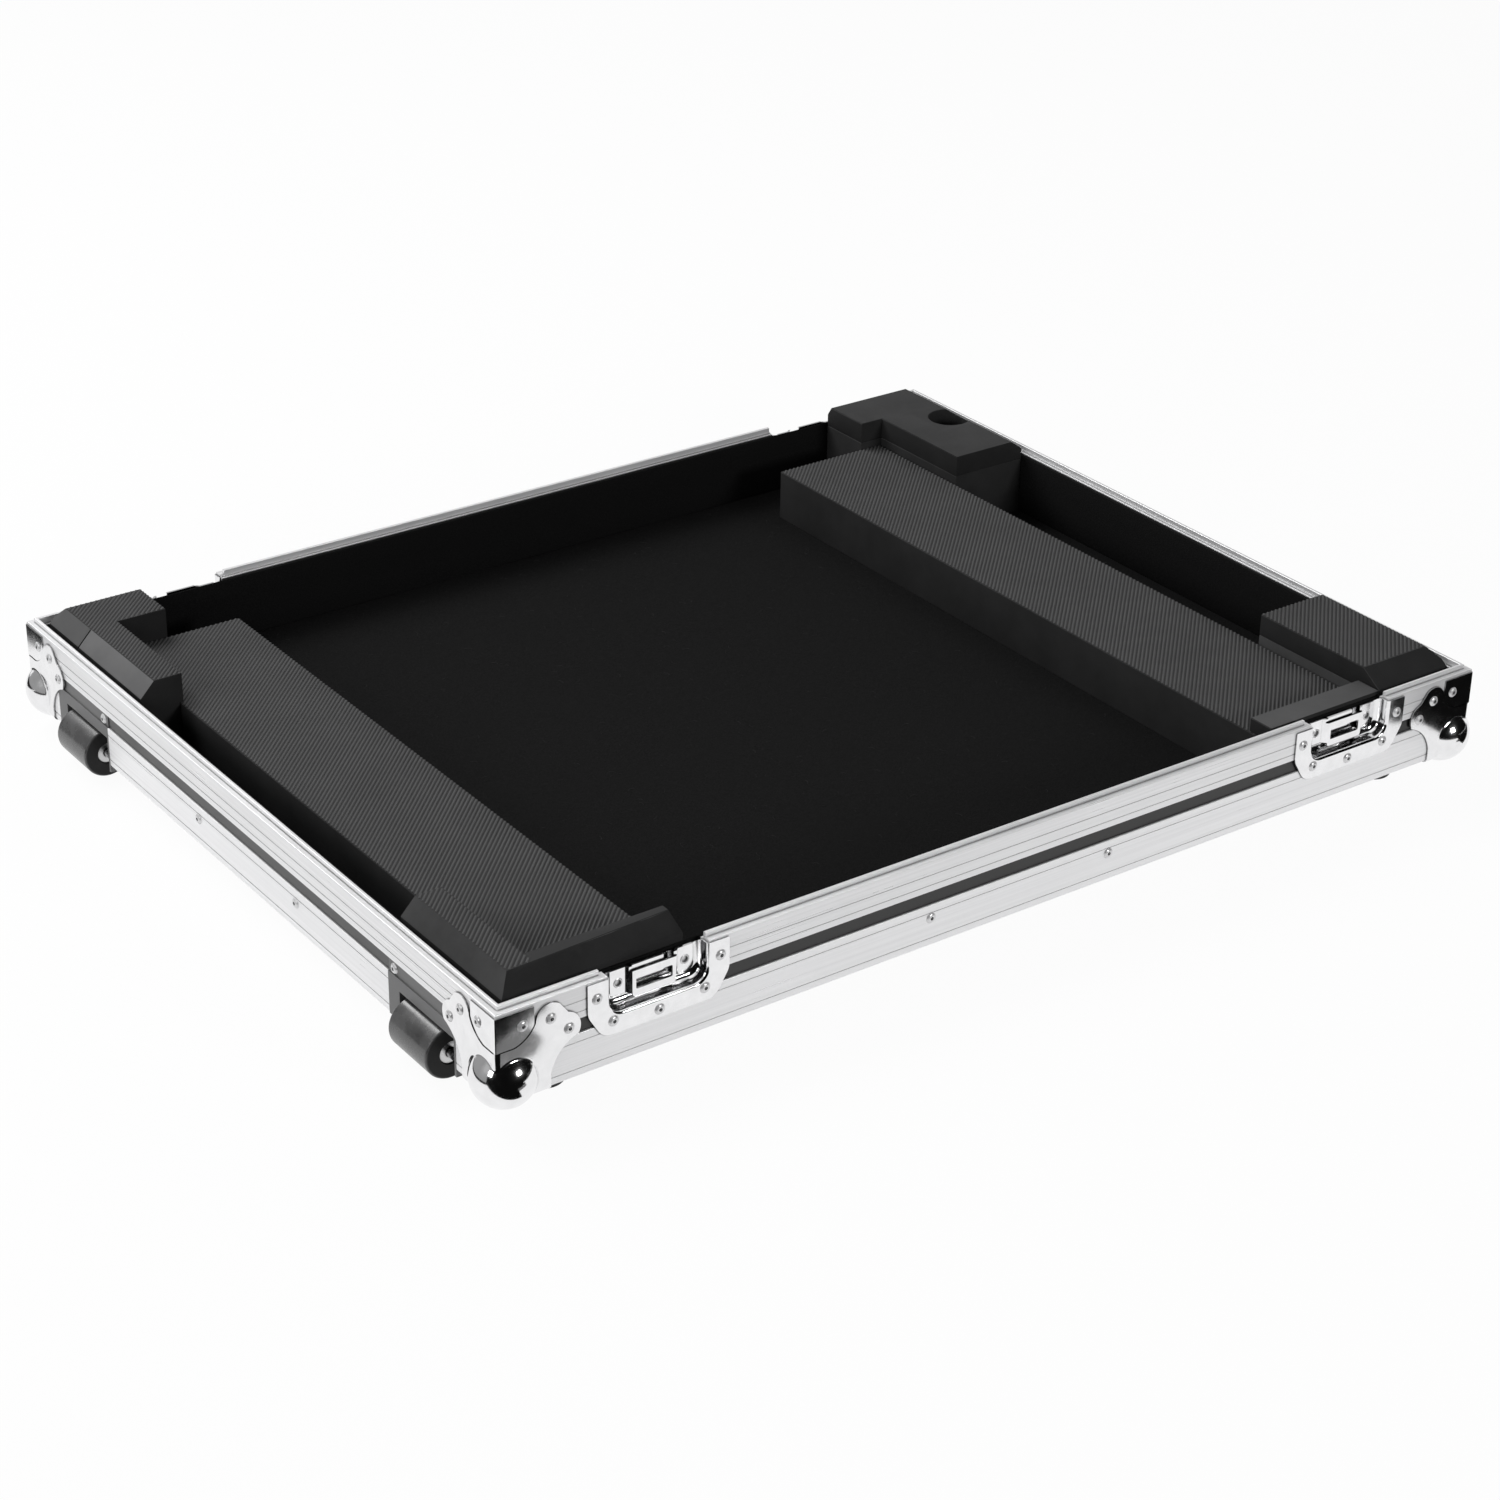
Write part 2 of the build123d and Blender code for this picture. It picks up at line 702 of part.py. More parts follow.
dish = latch_dish().cut(*keeper_holes())
keeper = latch_keeper()
for end, side, x in latch_places:
    name = corner_names[(side, end)]
    save(to_face(dish, end, x).cut(rivet_holes), f"{name}_latch_dish")
    save(to_face(keeper, end, x), f"{name}_latch_keeper")
keeper_rivets = [to_face(site * keeper_rivet_part(), end, x)
                 for end, side, x in latch_places for site in keeper_rivet_sites()]
save(group([site * pop_rivet(latch_sheet) for site in latch_sites] + keeper_rivets), "latch_rivets")


# Rollers and their housings on the left side
def wheel_housing():
    """Plate on the left face with a box behind it, drawn about the roller's middle."""
    plate = block(0, housing_wall, -housing_plate_half, housing_plate_half, 0, housing_plate_top)
    behind = block(edging_wall, past, -housing_plate_half - past, housing_plate_half + past,
                   -past, housing_plate_top + past)
    plate = plate.cut(behind.cut(block(0, past, -housing_front, housing_rear, -past, housing_top)))
    flange = block(housing_flange_step, rim_wall, -housing_plate_half, housing_plate_half,
                   housing_plate_top - 1, housing_flange_top)
    box = block(0, housing_depth, -housing_front, housing_rear, housing_foot, housing_top)
    room = block(-past, housing_depth - housing_wall, -slot_front, slot_rear,
                 housing_foot - past, slot_top)
    axis = Pos(roller_axis_inset, 0, roller_axis_height)
    bores = axis * Rot(90, 0, 0) * Cylinder(axle_radius + running_clearance, 4 * slot_front)
    return plate.fuse(flange, box).cut(room, bores)


def roller():
    body = Cylinder(roller_radius, roller_length)
    body = fillet(body.edges(), roller_edge_round)
    seats = [Pos(0, 0, end * (roller_length - bearing_length - bearing_sink) / 2)
             * Cylinder(bearing_radius + running_clearance / 2, bearing_length + bearing_sink) for end in sides]
    return Rot(90, 0, 0) * body.cut(Cylinder(roller_bore, roller_length + past), *seats)


def roller_bearings():
    race = Cylinder(bearing_radius, bearing_length) - Cylinder(axle_radius + running_clearance, past)
    race = fillet(race.edges().filter_by(GeomType.CIRCLE), edge_round)
    along = roller_length / 2 - bearing_sink - bearing_length / 2
    return group([Rot(90, 0, 0) * Pos(0, 0, end * along) * race for end in sides])


def wheel_axle():
    rod = Cylinder(axle_radius, housing_front + housing_rear)
    rod = Rot(90, 0, 0) * chamfer(rod.edges(), axle_chamfer)
    return Pos(0, (housing_rear - housing_front) / 2, 0) * rod


for end, name in ((-1, "front"), (1, "rear")):
    middle = Pos(-half_length, end * (half_depth - roller_from_end), 0)
    axis = middle * Pos(roller_axis_inset, 0, roller_axis_height)
    save((middle * wheel_housing()).cut(rivet_holes), f"{name}_wheel_housing")
    save(axis * wheel_axle(), f"{name}_wheel_axle")
    save(axis * roller(), f"{name}_roller")
    save(axis * roller_bearings(), f"{name}_roller_bearings")


# Rubber feet, each held by one screw up into the base board
def rubber_foot():
    body = Pos(0, 0, -foot_height / 2) * Cone(foot_bottom_radius, foot_top_radius, foot_height)
    body = fillet(body.edges().filter_by(GeomType.CIRCLE).sort_by(Axis.Z)[0], foot_round)
    well = Pos(0, 0, -foot_height + foot_well_depth / 2) * Cylinder(foot_well_radius, foot_well_depth)
    bore = Cylinder(screw_radius + seat_clearance, 3 * foot_height)
    return body.cut(well, bore)


def foot_screw():
    seat = foot_well_depth - foot_height
    length = screw_bite - seat
    head = Pos(0, 0, seat - screw_head_height / 2) * Cylinder(screw_head_radius, screw_head_height)
    head = fillet(head.edges().sort_by(Axis.Z)[0], screw_head_round)
    shank = Pos(0, 0, seat + length / 2) * Cylinder(screw_radius, length)
    blade = Box(*screw_recess)
    recess = Pos(0, 0, seat - screw_head_height) * Rot(0, 0, 45) * (blade + Rot(0, 0, 90) * blade)
    return head.fuse(shank).cut(recess)


save(group([Pos(x, y, 0) * rubber_foot() for x, y in foot_places]), "rubber_feet")
save(group([Pos(x, y, 0) * foot_screw() for x, y in foot_places]), "foot_screws")


# Foam blocks that hold the mixer
def prism_along_x(points, x0, x1):
    with BuildSketch(Plane.YZ) as outline:
        with BuildLine():
            Polyline(*points, close=True)
        make_face()
    return Pos(-half_length + x0, -half_depth, 0) * extrude(outline.sketch, x1 - x0)


def bevel_wall(wall, run, foot_z, inward, along_x, start, stop):
    """The wedge cut away where a block slopes from its ridge down to a wall lining."""
    ridge = wall + inward * run
    out = wall - inward * past
    slope = (foam_top - foot_z) / run
    points = [(ridge, foam_top), (out, foam_top - slope * (run + past)),
              (out, foam_top + past), (ridge, foam_top + past)]
    if along_x:
        return prism_along_x(points, start, stop)
    with BuildSketch(Plane.XZ) as outline:
        with BuildLine():
            Polyline(*points, close=True)
        make_face()
    return Pos(-half_length, -half_depth + stop, 0) * extrude(outline.sketch, stop - start)


far_x = case_length - lining_face
far_y = case_depth - lining_face
near_wall = lining_face
right_riser_start = case_length - right_riser_inner
right_riser_end = case_length - right_riser_outer
rear_left_arm_start = case_depth - rear_left_arm_reach
rear_arm_start = case_depth - rear_arm_width
rear_right_start = case_length - rear_right_reach
rear_right_arm_start = case_depth - rear_right_arm_reach
tall_block_start = case_length - tall_block_width
seam_from_front = case_depth - seam_from_rear
left_riser = tray_block(left_riser_start, left_riser_end, front_left_arm_width, rear_arm_start,
                        lining_floor, riser_top)
right_riser = tray_block(right_riser_start, right_riser_end, near_wall, rear_arm_start,
                         lining_floor, riser_top)
save(left_riser, "left_riser")
save(right_riser, "right_riser")


def bevel_end(x, run, foot_z):
    """The front bevel's wedge, seen at one place along the front left block."""
    ridge = near_wall + run
    out = near_wall - past
    slope = (foam_top - foot_z) / run
    points = [(ridge, foam_top), (out, foam_top - slope * (run + past)),
              (out, foam_top + past), (ridge, foam_top + past)]
    outline = make_face(Polyline(*points, close=True))
    plane = Plane(origin=(x - half_length, -half_depth, 0), x_dir=(0, 1, 0), z_dir=(1, 0, 0))
    return plane.location * outline


front_bevel = loft([bevel_end(near_wall, front_left_ridge, foam_bevel_foot),
                    bevel_end(front_left_reach + 1, front_arm_ridge, front_arm_foot)], ruled=True)
front_left = tray_block(near_wall, left_riser_start, near_wall, front_left_arm_end,
                        lining_floor, foam_top).fuse(
    tray_block(near_wall, front_left_reach, near_wall, front_left_arm_width, lining_floor, foam_top))
front_left = front_left.cut(
    bevel_wall(near_wall, front_left_ridge, foam_bevel_foot, 1, False, 0, case_depth),
    front_bevel, housing_spaces(2 * body_clearance))
save(front_left, "front_left_block")

rear_left_side = tray_block(near_wall, rear_left_inner, rear_left_arm_start, far_y, lining_floor, foam_top)
rear_left = rear_left_side.fuse(
    tray_block(near_wall, rear_left_reach, rear_arm_start, far_y, lining_floor, foam_top))
seam = Pos(0, 0, -seam_depth) * bevel_wall(near_wall, front_left_ridge, foam_bevel_foot, 1, False,
                                           seam_from_front, seam_from_front + seam_width)
rear_left = rear_left.cut(
    bevel_wall(near_wall, front_left_ridge, foam_bevel_foot, 1, False, 0, case_depth),
    bevel_wall(far_y, rear_bevel_run, rear_bevel_foot, -1, True, 0, case_length),
    seam, left_riser, housing_spaces(2 * body_clearance))
save(rear_left, "rear_left_block")

rear_right_side = tray_block(case_length - rear_right_inner, far_x, rear_right_arm_start, far_y,
                             lining_floor, foam_top)
rear_right = rear_right_side.fuse(
    tray_block(rear_right_start, far_x, rear_arm_start, far_y, lining_floor, foam_top))
cable_hole = Pos(half_length - hole_from_right, half_depth - hole_from_rear, foam_top / 2) * Cylinder(
    hole_radius, 2 * foam_top)
rear_right = rear_right.cut(
    bevel_wall(far_x, rear_right_side_run, side_bevel_foot, -1, False, 0, case_depth),
    bevel_wall(far_y, rear_right_back_run, rear_bevel_foot, -1, True, 0, case_length),
    cable_hole)
lower_half = tray_block(0, case_length, 0, case_depth, 0, foam_layer)
save(common(rear_right, lower_half), "rear_right_block_base")
save(rear_right.cut(lower_half), "rear_right_block")

front_right = tray_block(tall_block_start, far_x, near_wall, tall_block_back, lining_floor, foam_top)
front_right = front_right.cut(
    bevel_wall(near_wall, tall_front_ridge - near_wall, foam_bevel_foot, 1, True, 0, case_length),
    bevel_wall(far_x, side_bevel_run, side_bevel_foot, -1, False, 0, case_depth))
save(common(front_right, lower_half), "front_right_block_base")
save(front_right.cut(lower_half), "front_right_block")
strip = tray_block(right_riser_start, tall_block_start, near_wall, strip_back, riser_top, strip_top)
save(strip, "front_right_strip")

print(len(written), "pieces written")
print("bounds x", -half_length - left_overhang + centre_shift, half_length + corner_overhang + centre_shift)
print("height", foot_height + foam_top)
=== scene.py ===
import math
import bmesh
import bpy
from mathutils import Matrix, Vector, noise


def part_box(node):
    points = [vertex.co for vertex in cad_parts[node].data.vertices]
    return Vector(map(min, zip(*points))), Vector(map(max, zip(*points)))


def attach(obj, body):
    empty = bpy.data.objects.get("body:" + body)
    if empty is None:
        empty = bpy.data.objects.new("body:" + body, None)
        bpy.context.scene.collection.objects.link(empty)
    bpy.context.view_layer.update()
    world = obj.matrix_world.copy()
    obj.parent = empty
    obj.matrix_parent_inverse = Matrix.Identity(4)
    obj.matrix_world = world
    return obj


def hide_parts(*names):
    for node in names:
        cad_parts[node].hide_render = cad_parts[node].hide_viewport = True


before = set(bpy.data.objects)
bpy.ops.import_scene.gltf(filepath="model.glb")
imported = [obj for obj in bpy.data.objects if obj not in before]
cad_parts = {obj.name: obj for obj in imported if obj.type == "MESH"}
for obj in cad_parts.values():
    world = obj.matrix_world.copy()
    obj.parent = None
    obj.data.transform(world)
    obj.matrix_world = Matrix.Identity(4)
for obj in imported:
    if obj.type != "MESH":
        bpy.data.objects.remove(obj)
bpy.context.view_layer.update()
print("frame loaded")

# Camera, at the photograph's angle
cameraSetup = {
    "place": (-1.21954, -1.69463, 1.09808),
    "turn": 35.919,  # degrees to the right of the case's depth
    "dip": 27.804,
    "roll": 0.842,
    "lens": 79.51,
    "sensor": 36.0,
}


def makeCamera(setup):
    turn, dip, roll = (math.radians(setup[key]) for key in ("turn", "dip", "roll"))
    level = math.cos(dip)
    ahead = Vector((math.sin(turn) * level, math.cos(turn) * level, -math.sin(dip)))
    right = Vector((math.cos(turn), -math.sin(turn), 0.0))
    up = right.cross(ahead)
    rolledRight = right * math.cos(roll) + up * math.sin(roll)
    rolledUp = up * math.cos(roll) - right * math.sin(roll)
    lensData = bpy.data.cameras.new("camera")
    lensData.lens = setup["lens"]
    lensData.sensor_width = setup["sensor"]
    camera = bpy.data.objects.new("camera", lensData)
    camera.rotation_mode = "QUATERNION"
    axes = Matrix((rolledRight, rolledUp, -ahead)).transposed()
    camera.rotation_quaternion = axes.to_quaternion()
    camera.location = setup["place"]
    bpy.context.scene.collection.objects.link(camera)
    bpy.context.scene.camera = camera


makeCamera(cameraSetup)
bpy.context.scene.view_settings.view_transform = "Standard"


# Node helpers
patternSpread = (0.3, 0.7)  # where nearly all of a noise pattern's values lie
# the painted shade in crevices: how many rays it samples, and the openness of the darkest corners
creviceSamples = 8
creviceDarkest = 0.46  # the openness of a sharp inner corner


def addNode(tree, kind, **settings):
    node = tree.nodes.new(kind)
    for key, value in settings.items():
        setattr(node, key, value)
    return node


def wire(tree, *links):
    # each link is a node, its output, the next node and its input
    for source, output, target, socket in links:
        tree.links.new(source.outputs[output], target.inputs[socket])


def newFinish(name):
    finish = bpy.data.materials.new(name)
    finish.use_nodes = True
    return finish, finish.node_tree, finish.node_tree.nodes["Principled BSDF"]


def stretchedNoise(tree, stretch, detail=3.0, rough=0.55):
    # stretch is how many blotches there are in a metre, along X, Y and Z
    coords = addNode(tree, "ShaderNodeTexCoord")
    mapping = addNode(tree, "ShaderNodeMapping")
    mapping.inputs["Scale"].default_value = stretch
    texture = addNode(tree, "ShaderNodeTexNoise")
    texture.inputs["Scale"].default_value = 1.0
    texture.inputs["Detail"].default_value = detail
    texture.inputs["Roughness"].default_value = rough
    wire(tree,
         (coords, "Object", mapping, "Vector"),
         (mapping, "Vector", texture, "Vector"))
    return texture.outputs["Fac"]


def grey(value):
    return (value, value, value * 1.01)  # a touch of blue


def between(tree, source, low, high, spread=patternSpread):
    # stretches the spread part of a pattern over a range of values
    remap = addNode(tree, "ShaderNodeMapRange")
    remap.inputs["From Min"].default_value, remap.inputs["From Max"].default_value = spread
    remap.inputs["To Min"].default_value = low
    remap.inputs["To Max"].default_value = high
    tree.links.new(source, remap.inputs["Value"])
    return remap.outputs["Result"]


def twoTone(tree, source, dark, light, spread=patternSpread):
    # a near grey between two shades
    ramp = addNode(tree, "ShaderNodeValToRGB")
    for stop, place, shade in zip(ramp.color_ramp.elements, spread, (dark, light)):
        stop.position = place
        stop.color = (*grey(shade), 1.0)
    tree.links.new(source, ramp.inputs["Fac"])
    return ramp.outputs["Color"]


def addBump(tree, shader, layers):
    # each layer is a pattern, its strength and its depth in metres
    normal = None
    for source, strength, depth in layers:
        bump = addNode(tree, "ShaderNodeBump")
        bump.inputs["Strength"].default_value = strength
        bump.inputs["Distance"].default_value = depth
        tree.links.new(source, bump.inputs["Height"])
        if normal:
            tree.links.new(normal, bump.inputs["Normal"])
        normal = bump.outputs["Normal"]
    tree.links.new(normal, shader.inputs["Normal"])


def paintedCreviceShade(tree, colour, crevice):
    # painted shade: ambient occlusion darkens the base colour into a thin dark line where one
    # plate lies on another
    nearby = addNode(tree, "ShaderNodeAmbientOcclusion", samples=creviceSamples)
    nearby.inputs["Distance"].default_value = crevice["reach"]
    shade = addNode(tree, "ShaderNodeMix", data_type="RGBA", blend_type="MULTIPLY")
    shade.inputs["Factor"].default_value = 1.0
    tree.links.new(colour, shade.inputs["A"])
    spread = (creviceDarkest, crevice["clear"])
    openness = between(tree, nearby.outputs["AO"], crevice["shade"], 1.0, spread)
    tree.links.new(openness, shade.inputs["B"])
    return shade.outputs["Result"]


# Metal finishes: shades, roughness, grain and painted shade in the crevices, the grain in streaks
# or blotches to the metre
rimLook = {"dark": 0.74, "light": 0.86, "smooth": 0.26, "dull": 0.42,
           "metal": 0.45, "fineness": 900.0}
edgingLook = dict(rimLook, dark=0.80, light=0.90, smooth=0.28, dull=0.44, fineness=700.0)
rivetLook = {"dark": 0.62, "light": 0.74, "smooth": 0.24, "dull": 0.34,
             "metal": 0.55, "fineness": 500.0}
extrudedGrain = {"along": 3.0, "smudges": (14.0, 14.0, 14.0), "smudgeDullness": (-0.04, 0.06),
                 "streakBump": 0.25, "streakDepth": 0.00006}
# painted shade in the crevices: how far it looks, how dark it gets and the openness where it fades
extrudedPaintedShade = {"reach": 0.002, "shade": 0.25, "clear": 0.82}
chromeLook = {"dark": 0.80, "light": 0.87, "smooth": 0.09, "dull": 0.16, "waviness": 0.00004}
latchLook = dict(chromeLook, waviness=0.000004)
mandrelLook = dict(chromeLook, dark=0.08, light=0.16, smooth=0.3, dull=0.5)
axleLook = dict(chromeLook, dark=0.5, light=0.6, smooth=0.2, dull=0.36)
polishedGrain = {"press": (38.0, 38.0, 38.0), "pressBump": 0.6,
                 "haze": (130.0, 130.0, 130.0), "hazeSpread": (0.35, 0.8),
                 "scratches": (2600.0, 260.0, 1900.0),
                 "scratchBump": 0.08, "scratchDepth": 0.00002}
# painted shade in the crevices and inner bends of the polished steel
polishedPaintedShade = {"reach": 0.003, "shade": 0.08, "clear": 0.86}


def extrudedAluminium(name, along, look, grain=extrudedGrain):
    finish, tree, shader = newFinish(name)
    stretch = [look["fineness"]] * 3
    stretch["xyz".index(along)] = grain["along"]
    streaks = stretchedNoise(tree, stretch, detail=4.0, rough=0.6)
    smudges = stretchedNoise(tree, grain["smudges"])
    colour = twoTone(tree, streaks, look["dark"], look["light"])
    # the base colour is darkened by painted shade in the crevices
    tree.links.new(paintedCreviceShade(tree, colour, extrudedPaintedShade), shader.inputs["Base Color"])
    shader.inputs["Metallic"].default_value = look["metal"]
    mixed = addNode(tree, "ShaderNodeMath", operation="ADD")
    tree.links.new(between(tree, streaks, look["smooth"], look["dull"]), mixed.inputs[0])
    tree.links.new(between(tree, smudges, *grain["smudgeDullness"]), mixed.inputs[1])
    tree.links.new(mixed.outputs[0], shader.inputs["Roughness"])
    addBump(tree, shader, [(streaks, grain["streakBump"], grain["streakDepth"])])
    return finish


def polishedSteel(name, look, grain=polishedGrain):
    finish, tree, shader = newFinish(name)
    press = stretchedNoise(tree, grain["press"], detail=2.0)
    haze = stretchedNoise(tree, grain["haze"], detail=4.0)
    scratches = stretchedNoise(tree, grain["scratches"], detail=2.0, rough=0.7)
    colour = twoTone(tree, haze, look["dark"], look["light"])
    # the base colour is darkened by painted shade in the crevices
    tree.links.new(paintedCreviceShade(tree, colour, polishedPaintedShade), shader.inputs["Base Color"])
    shader.inputs["Metallic"].default_value = 1.0
    dullness = between(tree, haze, look["smooth"], look["dull"], grain["hazeSpread"])
    tree.links.new(dullness, shader.inputs["Roughness"])
    addBump(tree, shader, [(press, grain["pressBump"], look["waviness"]),
                           (scratches, grain["scratchBump"], grain["scratchDepth"])])
    return finish


rimAcross = extrudedAluminium("rim_aluminium_across", "x", rimLook)
rimDeep = extrudedAluminium("rim_aluminium_deep", "y", rimLook)
edgingAcross = extrudedAluminium("edging_aluminium_across", "x", edgingLook)
edgingDeep = extrudedAluminium("edging_aluminium_deep", "y", edgingLook)
cornerSteel = polishedSteel("corner_steel", chromeLook)
latchSteel = polishedSteel("latch_steel", latchLook)
rivetSteel = extrudedAluminium("rivet_steel", "z", rivetLook)
mandrelSteel = polishedSteel("mandrel_steel", mandrelLook)
axleSteel = polishedSteel("axle_steel", axleLook)


# Board, plastic and rubber finishes
boardLook = {"dark": 0.011, "light": 0.017, "smooth": 0.3, "dull": 0.42,
             "grain": 1500.0, "grainDepth": 0.00005, "gloss": 0.5}
# the side boards are the same laminate painted lighter: painted light for the brightly lit left
# side
sidePaintedLightLook = dict(boardLook, dark=0.032, light=0.046)
# the wheel housings' black plastic is painted mid grey: painted light for the strong light on the
# left face
housingPaintedLightLook = dict(boardLook, dark=0.1, light=0.14, smooth=0.4, dull=0.52,
                   grain=2200.0, grainDepth=0.00008)
footLook = {"dark": 0.018, "light": 0.026, "smooth": 0.6, "dull": 0.75,
            "grain": 1400.0, "grainDepth": 0.0001, "gloss": 0.3}
mouldedCloud = {"scale": (22.0, 22.0, 22.0), "bump": 0.1, "depth": 0.0004}
mouldedGrainBump = 0.35


def mouldedFinish(name, look):
    finish, tree, shader = newFinish(name)
    fine = stretchedNoise(tree, [look["grain"]] * 3, detail=2.0)
    cloud = stretchedNoise(tree, mouldedCloud["scale"], detail=4.0)
    tree.links.new(twoTone(tree, cloud, look["dark"], look["light"]), shader.inputs["Base Color"])
    tree.links.new(between(tree, cloud, look["smooth"], look["dull"]), shader.inputs["Roughness"])
    shader.inputs["Specular IOR Level"].default_value = look["gloss"]
    addBump(tree, shader, [(fine, mouldedGrainBump, look["grainDepth"]),
                           (cloud, mouldedCloud["bump"], mouldedCloud["depth"])])
    return finish


laminateBoard = mouldedFinish("laminate_board", boardLook)
paintedLightLaminate = mouldedFinish("painted_light_laminate", sidePaintedLightLook)
paintedLightHousing = mouldedFinish("housing_plastic", housingPaintedLightLook)


# the dull end turns into the glossy tread from inside to outside, measured from the axle
rollerLook = {"inside": 0.0162, "outside": 0.0174,
              "treadShades": (0.03, 0.075), "treadDullness": (0.18, 0.34), "treadGloss": 0.8,
              "endPaintedShades": (0.012, 0.02), "endDullness": 0.6, "endGloss": 0.25,
              "blotches": (70.0, 55.0, 70.0), "blotchBump": 0.25, "blotchDepth": 0.0003,
              "grain": (1700.0, 1700.0, 1700.0), "grainBump": 0.3, "grainDepth": 0.00003}


def rollerFinish(name, look, axleMiddle):
    # dull ends and a glossy tread, worn in blotches; the ends are painted darker than the tread,
    # as painted shade for their shaded faces; both axles lie in one line
    finish, tree, shader = newFinish(name)
    blotches = stretchedNoise(tree, look["blotches"], detail=4.0, rough=0.6)
    fine = stretchedNoise(tree, look["grain"], detail=2.0)
    coords = addNode(tree, "ShaderNodeTexCoord")
    fromAxis = addNode(tree, "ShaderNodeVectorMath", operation="SUBTRACT")
    fromAxis.inputs[1].default_value = axleMiddle
    flat = addNode(tree, "ShaderNodeVectorMath", operation="MULTIPLY")
    flat.inputs[1].default_value = (1.0, 0.0, 1.0)
    radius = addNode(tree, "ShaderNodeVectorMath", operation="LENGTH")
    wire(tree,
         (coords, "Object", fromAxis, 0),
         (fromAxis, "Vector", flat, 0),
         (flat, "Vector", radius, 0))
    onTread = between(tree, radius.outputs["Value"], 0.0, 1.0, (look["inside"], look["outside"]))
    shade = addNode(tree, "ShaderNodeMix", data_type="RGBA")
    tree.links.new(onTread, shade.inputs["Factor"])
    tree.links.new(twoTone(tree, blotches, *look["endPaintedShades"]), shade.inputs["A"])
    tree.links.new(twoTone(tree, blotches, *look["treadShades"]), shade.inputs["B"])
    dullness = addNode(tree, "ShaderNodeMix", data_type="FLOAT")
    dullness.inputs["A"].default_value = look["endDullness"]
    tree.links.new(onTread, dullness.inputs["Factor"])
    tree.links.new(between(tree, blotches, *look["treadDullness"]), dullness.inputs["B"])
    wire(tree,
         (shade, "Result", shader, "Base Color"),
         (dullness, "Result", shader, "Roughness"))
    gloss = between(tree, onTread, look["endGloss"], look["treadGloss"], (0.0, 1.0))
    tree.links.new(gloss, shader.inputs["Specular IOR Level"])
    addBump(tree, shader, [(fine, look["grainBump"], look["grainDepth"]),
                           (blotches, look["blotchBump"], look["blotchDepth"])])
    return finish


axleLow, axleHigh = (Vector(corner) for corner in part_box("front_wheel_axle"))
axleMiddle = (axleLow + axleHigh) / 2
rollerRubber = rollerFinish("roller_rubber", rollerLook, axleMiddle)
footRubber = mouldedFinish("foot_rubber", footLook)


# Felt and foam finishes
feltShades = {"felt": (0.0042, 0.0115), "felt_lint": (0.02, 0.06)}
feltGrain = {"fibres": (1100.0, 1100.0, 1100.0), "fibreSpread": (0.4, 0.68),
             "fibreBump": 0.8, "fibreDepth": 0.0004,
             "tufts": (230.0, 230.0, 230.0), "tuftBump": 0.5, "tuftDepth": 0.0006,
             "dullness": 0.96, "gloss": 0.08}
skinCell, skinGloss, cutGloss = 1900.0, 0.12, 0.08
foamShades = {  # dark, light, cells in a metre and gloss
    "foam_cut": (0.018, 0.027, 2600.0, cutGloss),
    "foam_cut_middle": (0.02, 0.032, 2200.0, cutGloss),
    "foam_cut_pale": (0.046, 0.07, 1500.0, cutGloss),
    "foam_skin": (0.04, 0.064, skinCell, skinGloss),
    "foam_pale_skin": (0.09, 0.115, skinCell, skinGloss),
    # the ribs are painted about twice as light as the grooves between them: painted light on the
    # ribs and painted shade in the grooves
    "foam_groove": (0.042, 0.052, skinCell, skinGloss),
    "foam_rib": (0.08, 0.1, skinCell, skinGloss),
    "foam_strip": (0.12, 0.155, skinCell, skinGloss),
}
foamGrain = {"cloud": (26.0, 26.0, 26.0), "cloudSpread": (0.3, 0.72),
             "cloudBump": 0.3, "cloudDepth": 0.0006,
             "dullness": (0.8, 0.95), "cellBump": 0.35, "cellDepth": 0.00012}


def feltFinish(name, grain=feltGrain):
    finish, tree, shader = newFinish(name)
    fibres = stretchedNoise(tree, grain["fibres"], detail=6.0, rough=0.7)
    tufts = stretchedNoise(tree, grain["tufts"], detail=4.0, rough=0.6)
    colour = twoTone(tree, fibres, *feltShades[name], grain["fibreSpread"])
    tree.links.new(colour, shader.inputs["Base Color"])
    shader.inputs["Roughness"].default_value = grain["dullness"]
    shader.inputs["Specular IOR Level"].default_value = grain["gloss"]
    addBump(tree, shader, [(tufts, grain["tuftBump"], grain["tuftDepth"]),
                           (fibres, grain["fibreBump"], grain["fibreDepth"])])
    return finish


def foamFinish(name, grain=foamGrain):
    dark, light, cell, gloss = foamShades[name]
    finish, tree, shader = newFinish(name)
    cells = stretchedNoise(tree, [cell] * 3, detail=2.0)
    cloud = stretchedNoise(tree, grain["cloud"], detail=5.0, rough=0.6)
    colour = twoTone(tree, cloud, dark, light, grain["cloudSpread"])
    tree.links.new(colour, shader.inputs["Base Color"])
    tree.links.new(between(tree, cloud, *grain["dullness"]), shader.inputs["Roughness"])
    shader.inputs["Specular IOR Level"].default_value = gloss
    addBump(tree, shader, [(cloud, grain["cloudBump"], grain["cloudDepth"]),
                           (cells, grain["cellBump"], grain["cellDepth"])])
    return finish


felt = feltFinish("felt")
lint = feltFinish("felt_lint")
foamCut = foamFinish("foam_cut")
foamCutMiddle = foamFinish("foam_cut_middle")
foamCutPale = foamFinish("foam_cut_pale")
foamSkin = foamFinish("foam_skin")
foamPaleSkin = foamFinish("foam_pale_skin")
paintedShadeGrooveFoam = foamFinish("foam_groove")
paintedLightRibFoam = foamFinish("foam_rib")
foamStrip = foamFinish("foam_strip")
print("finishes made")

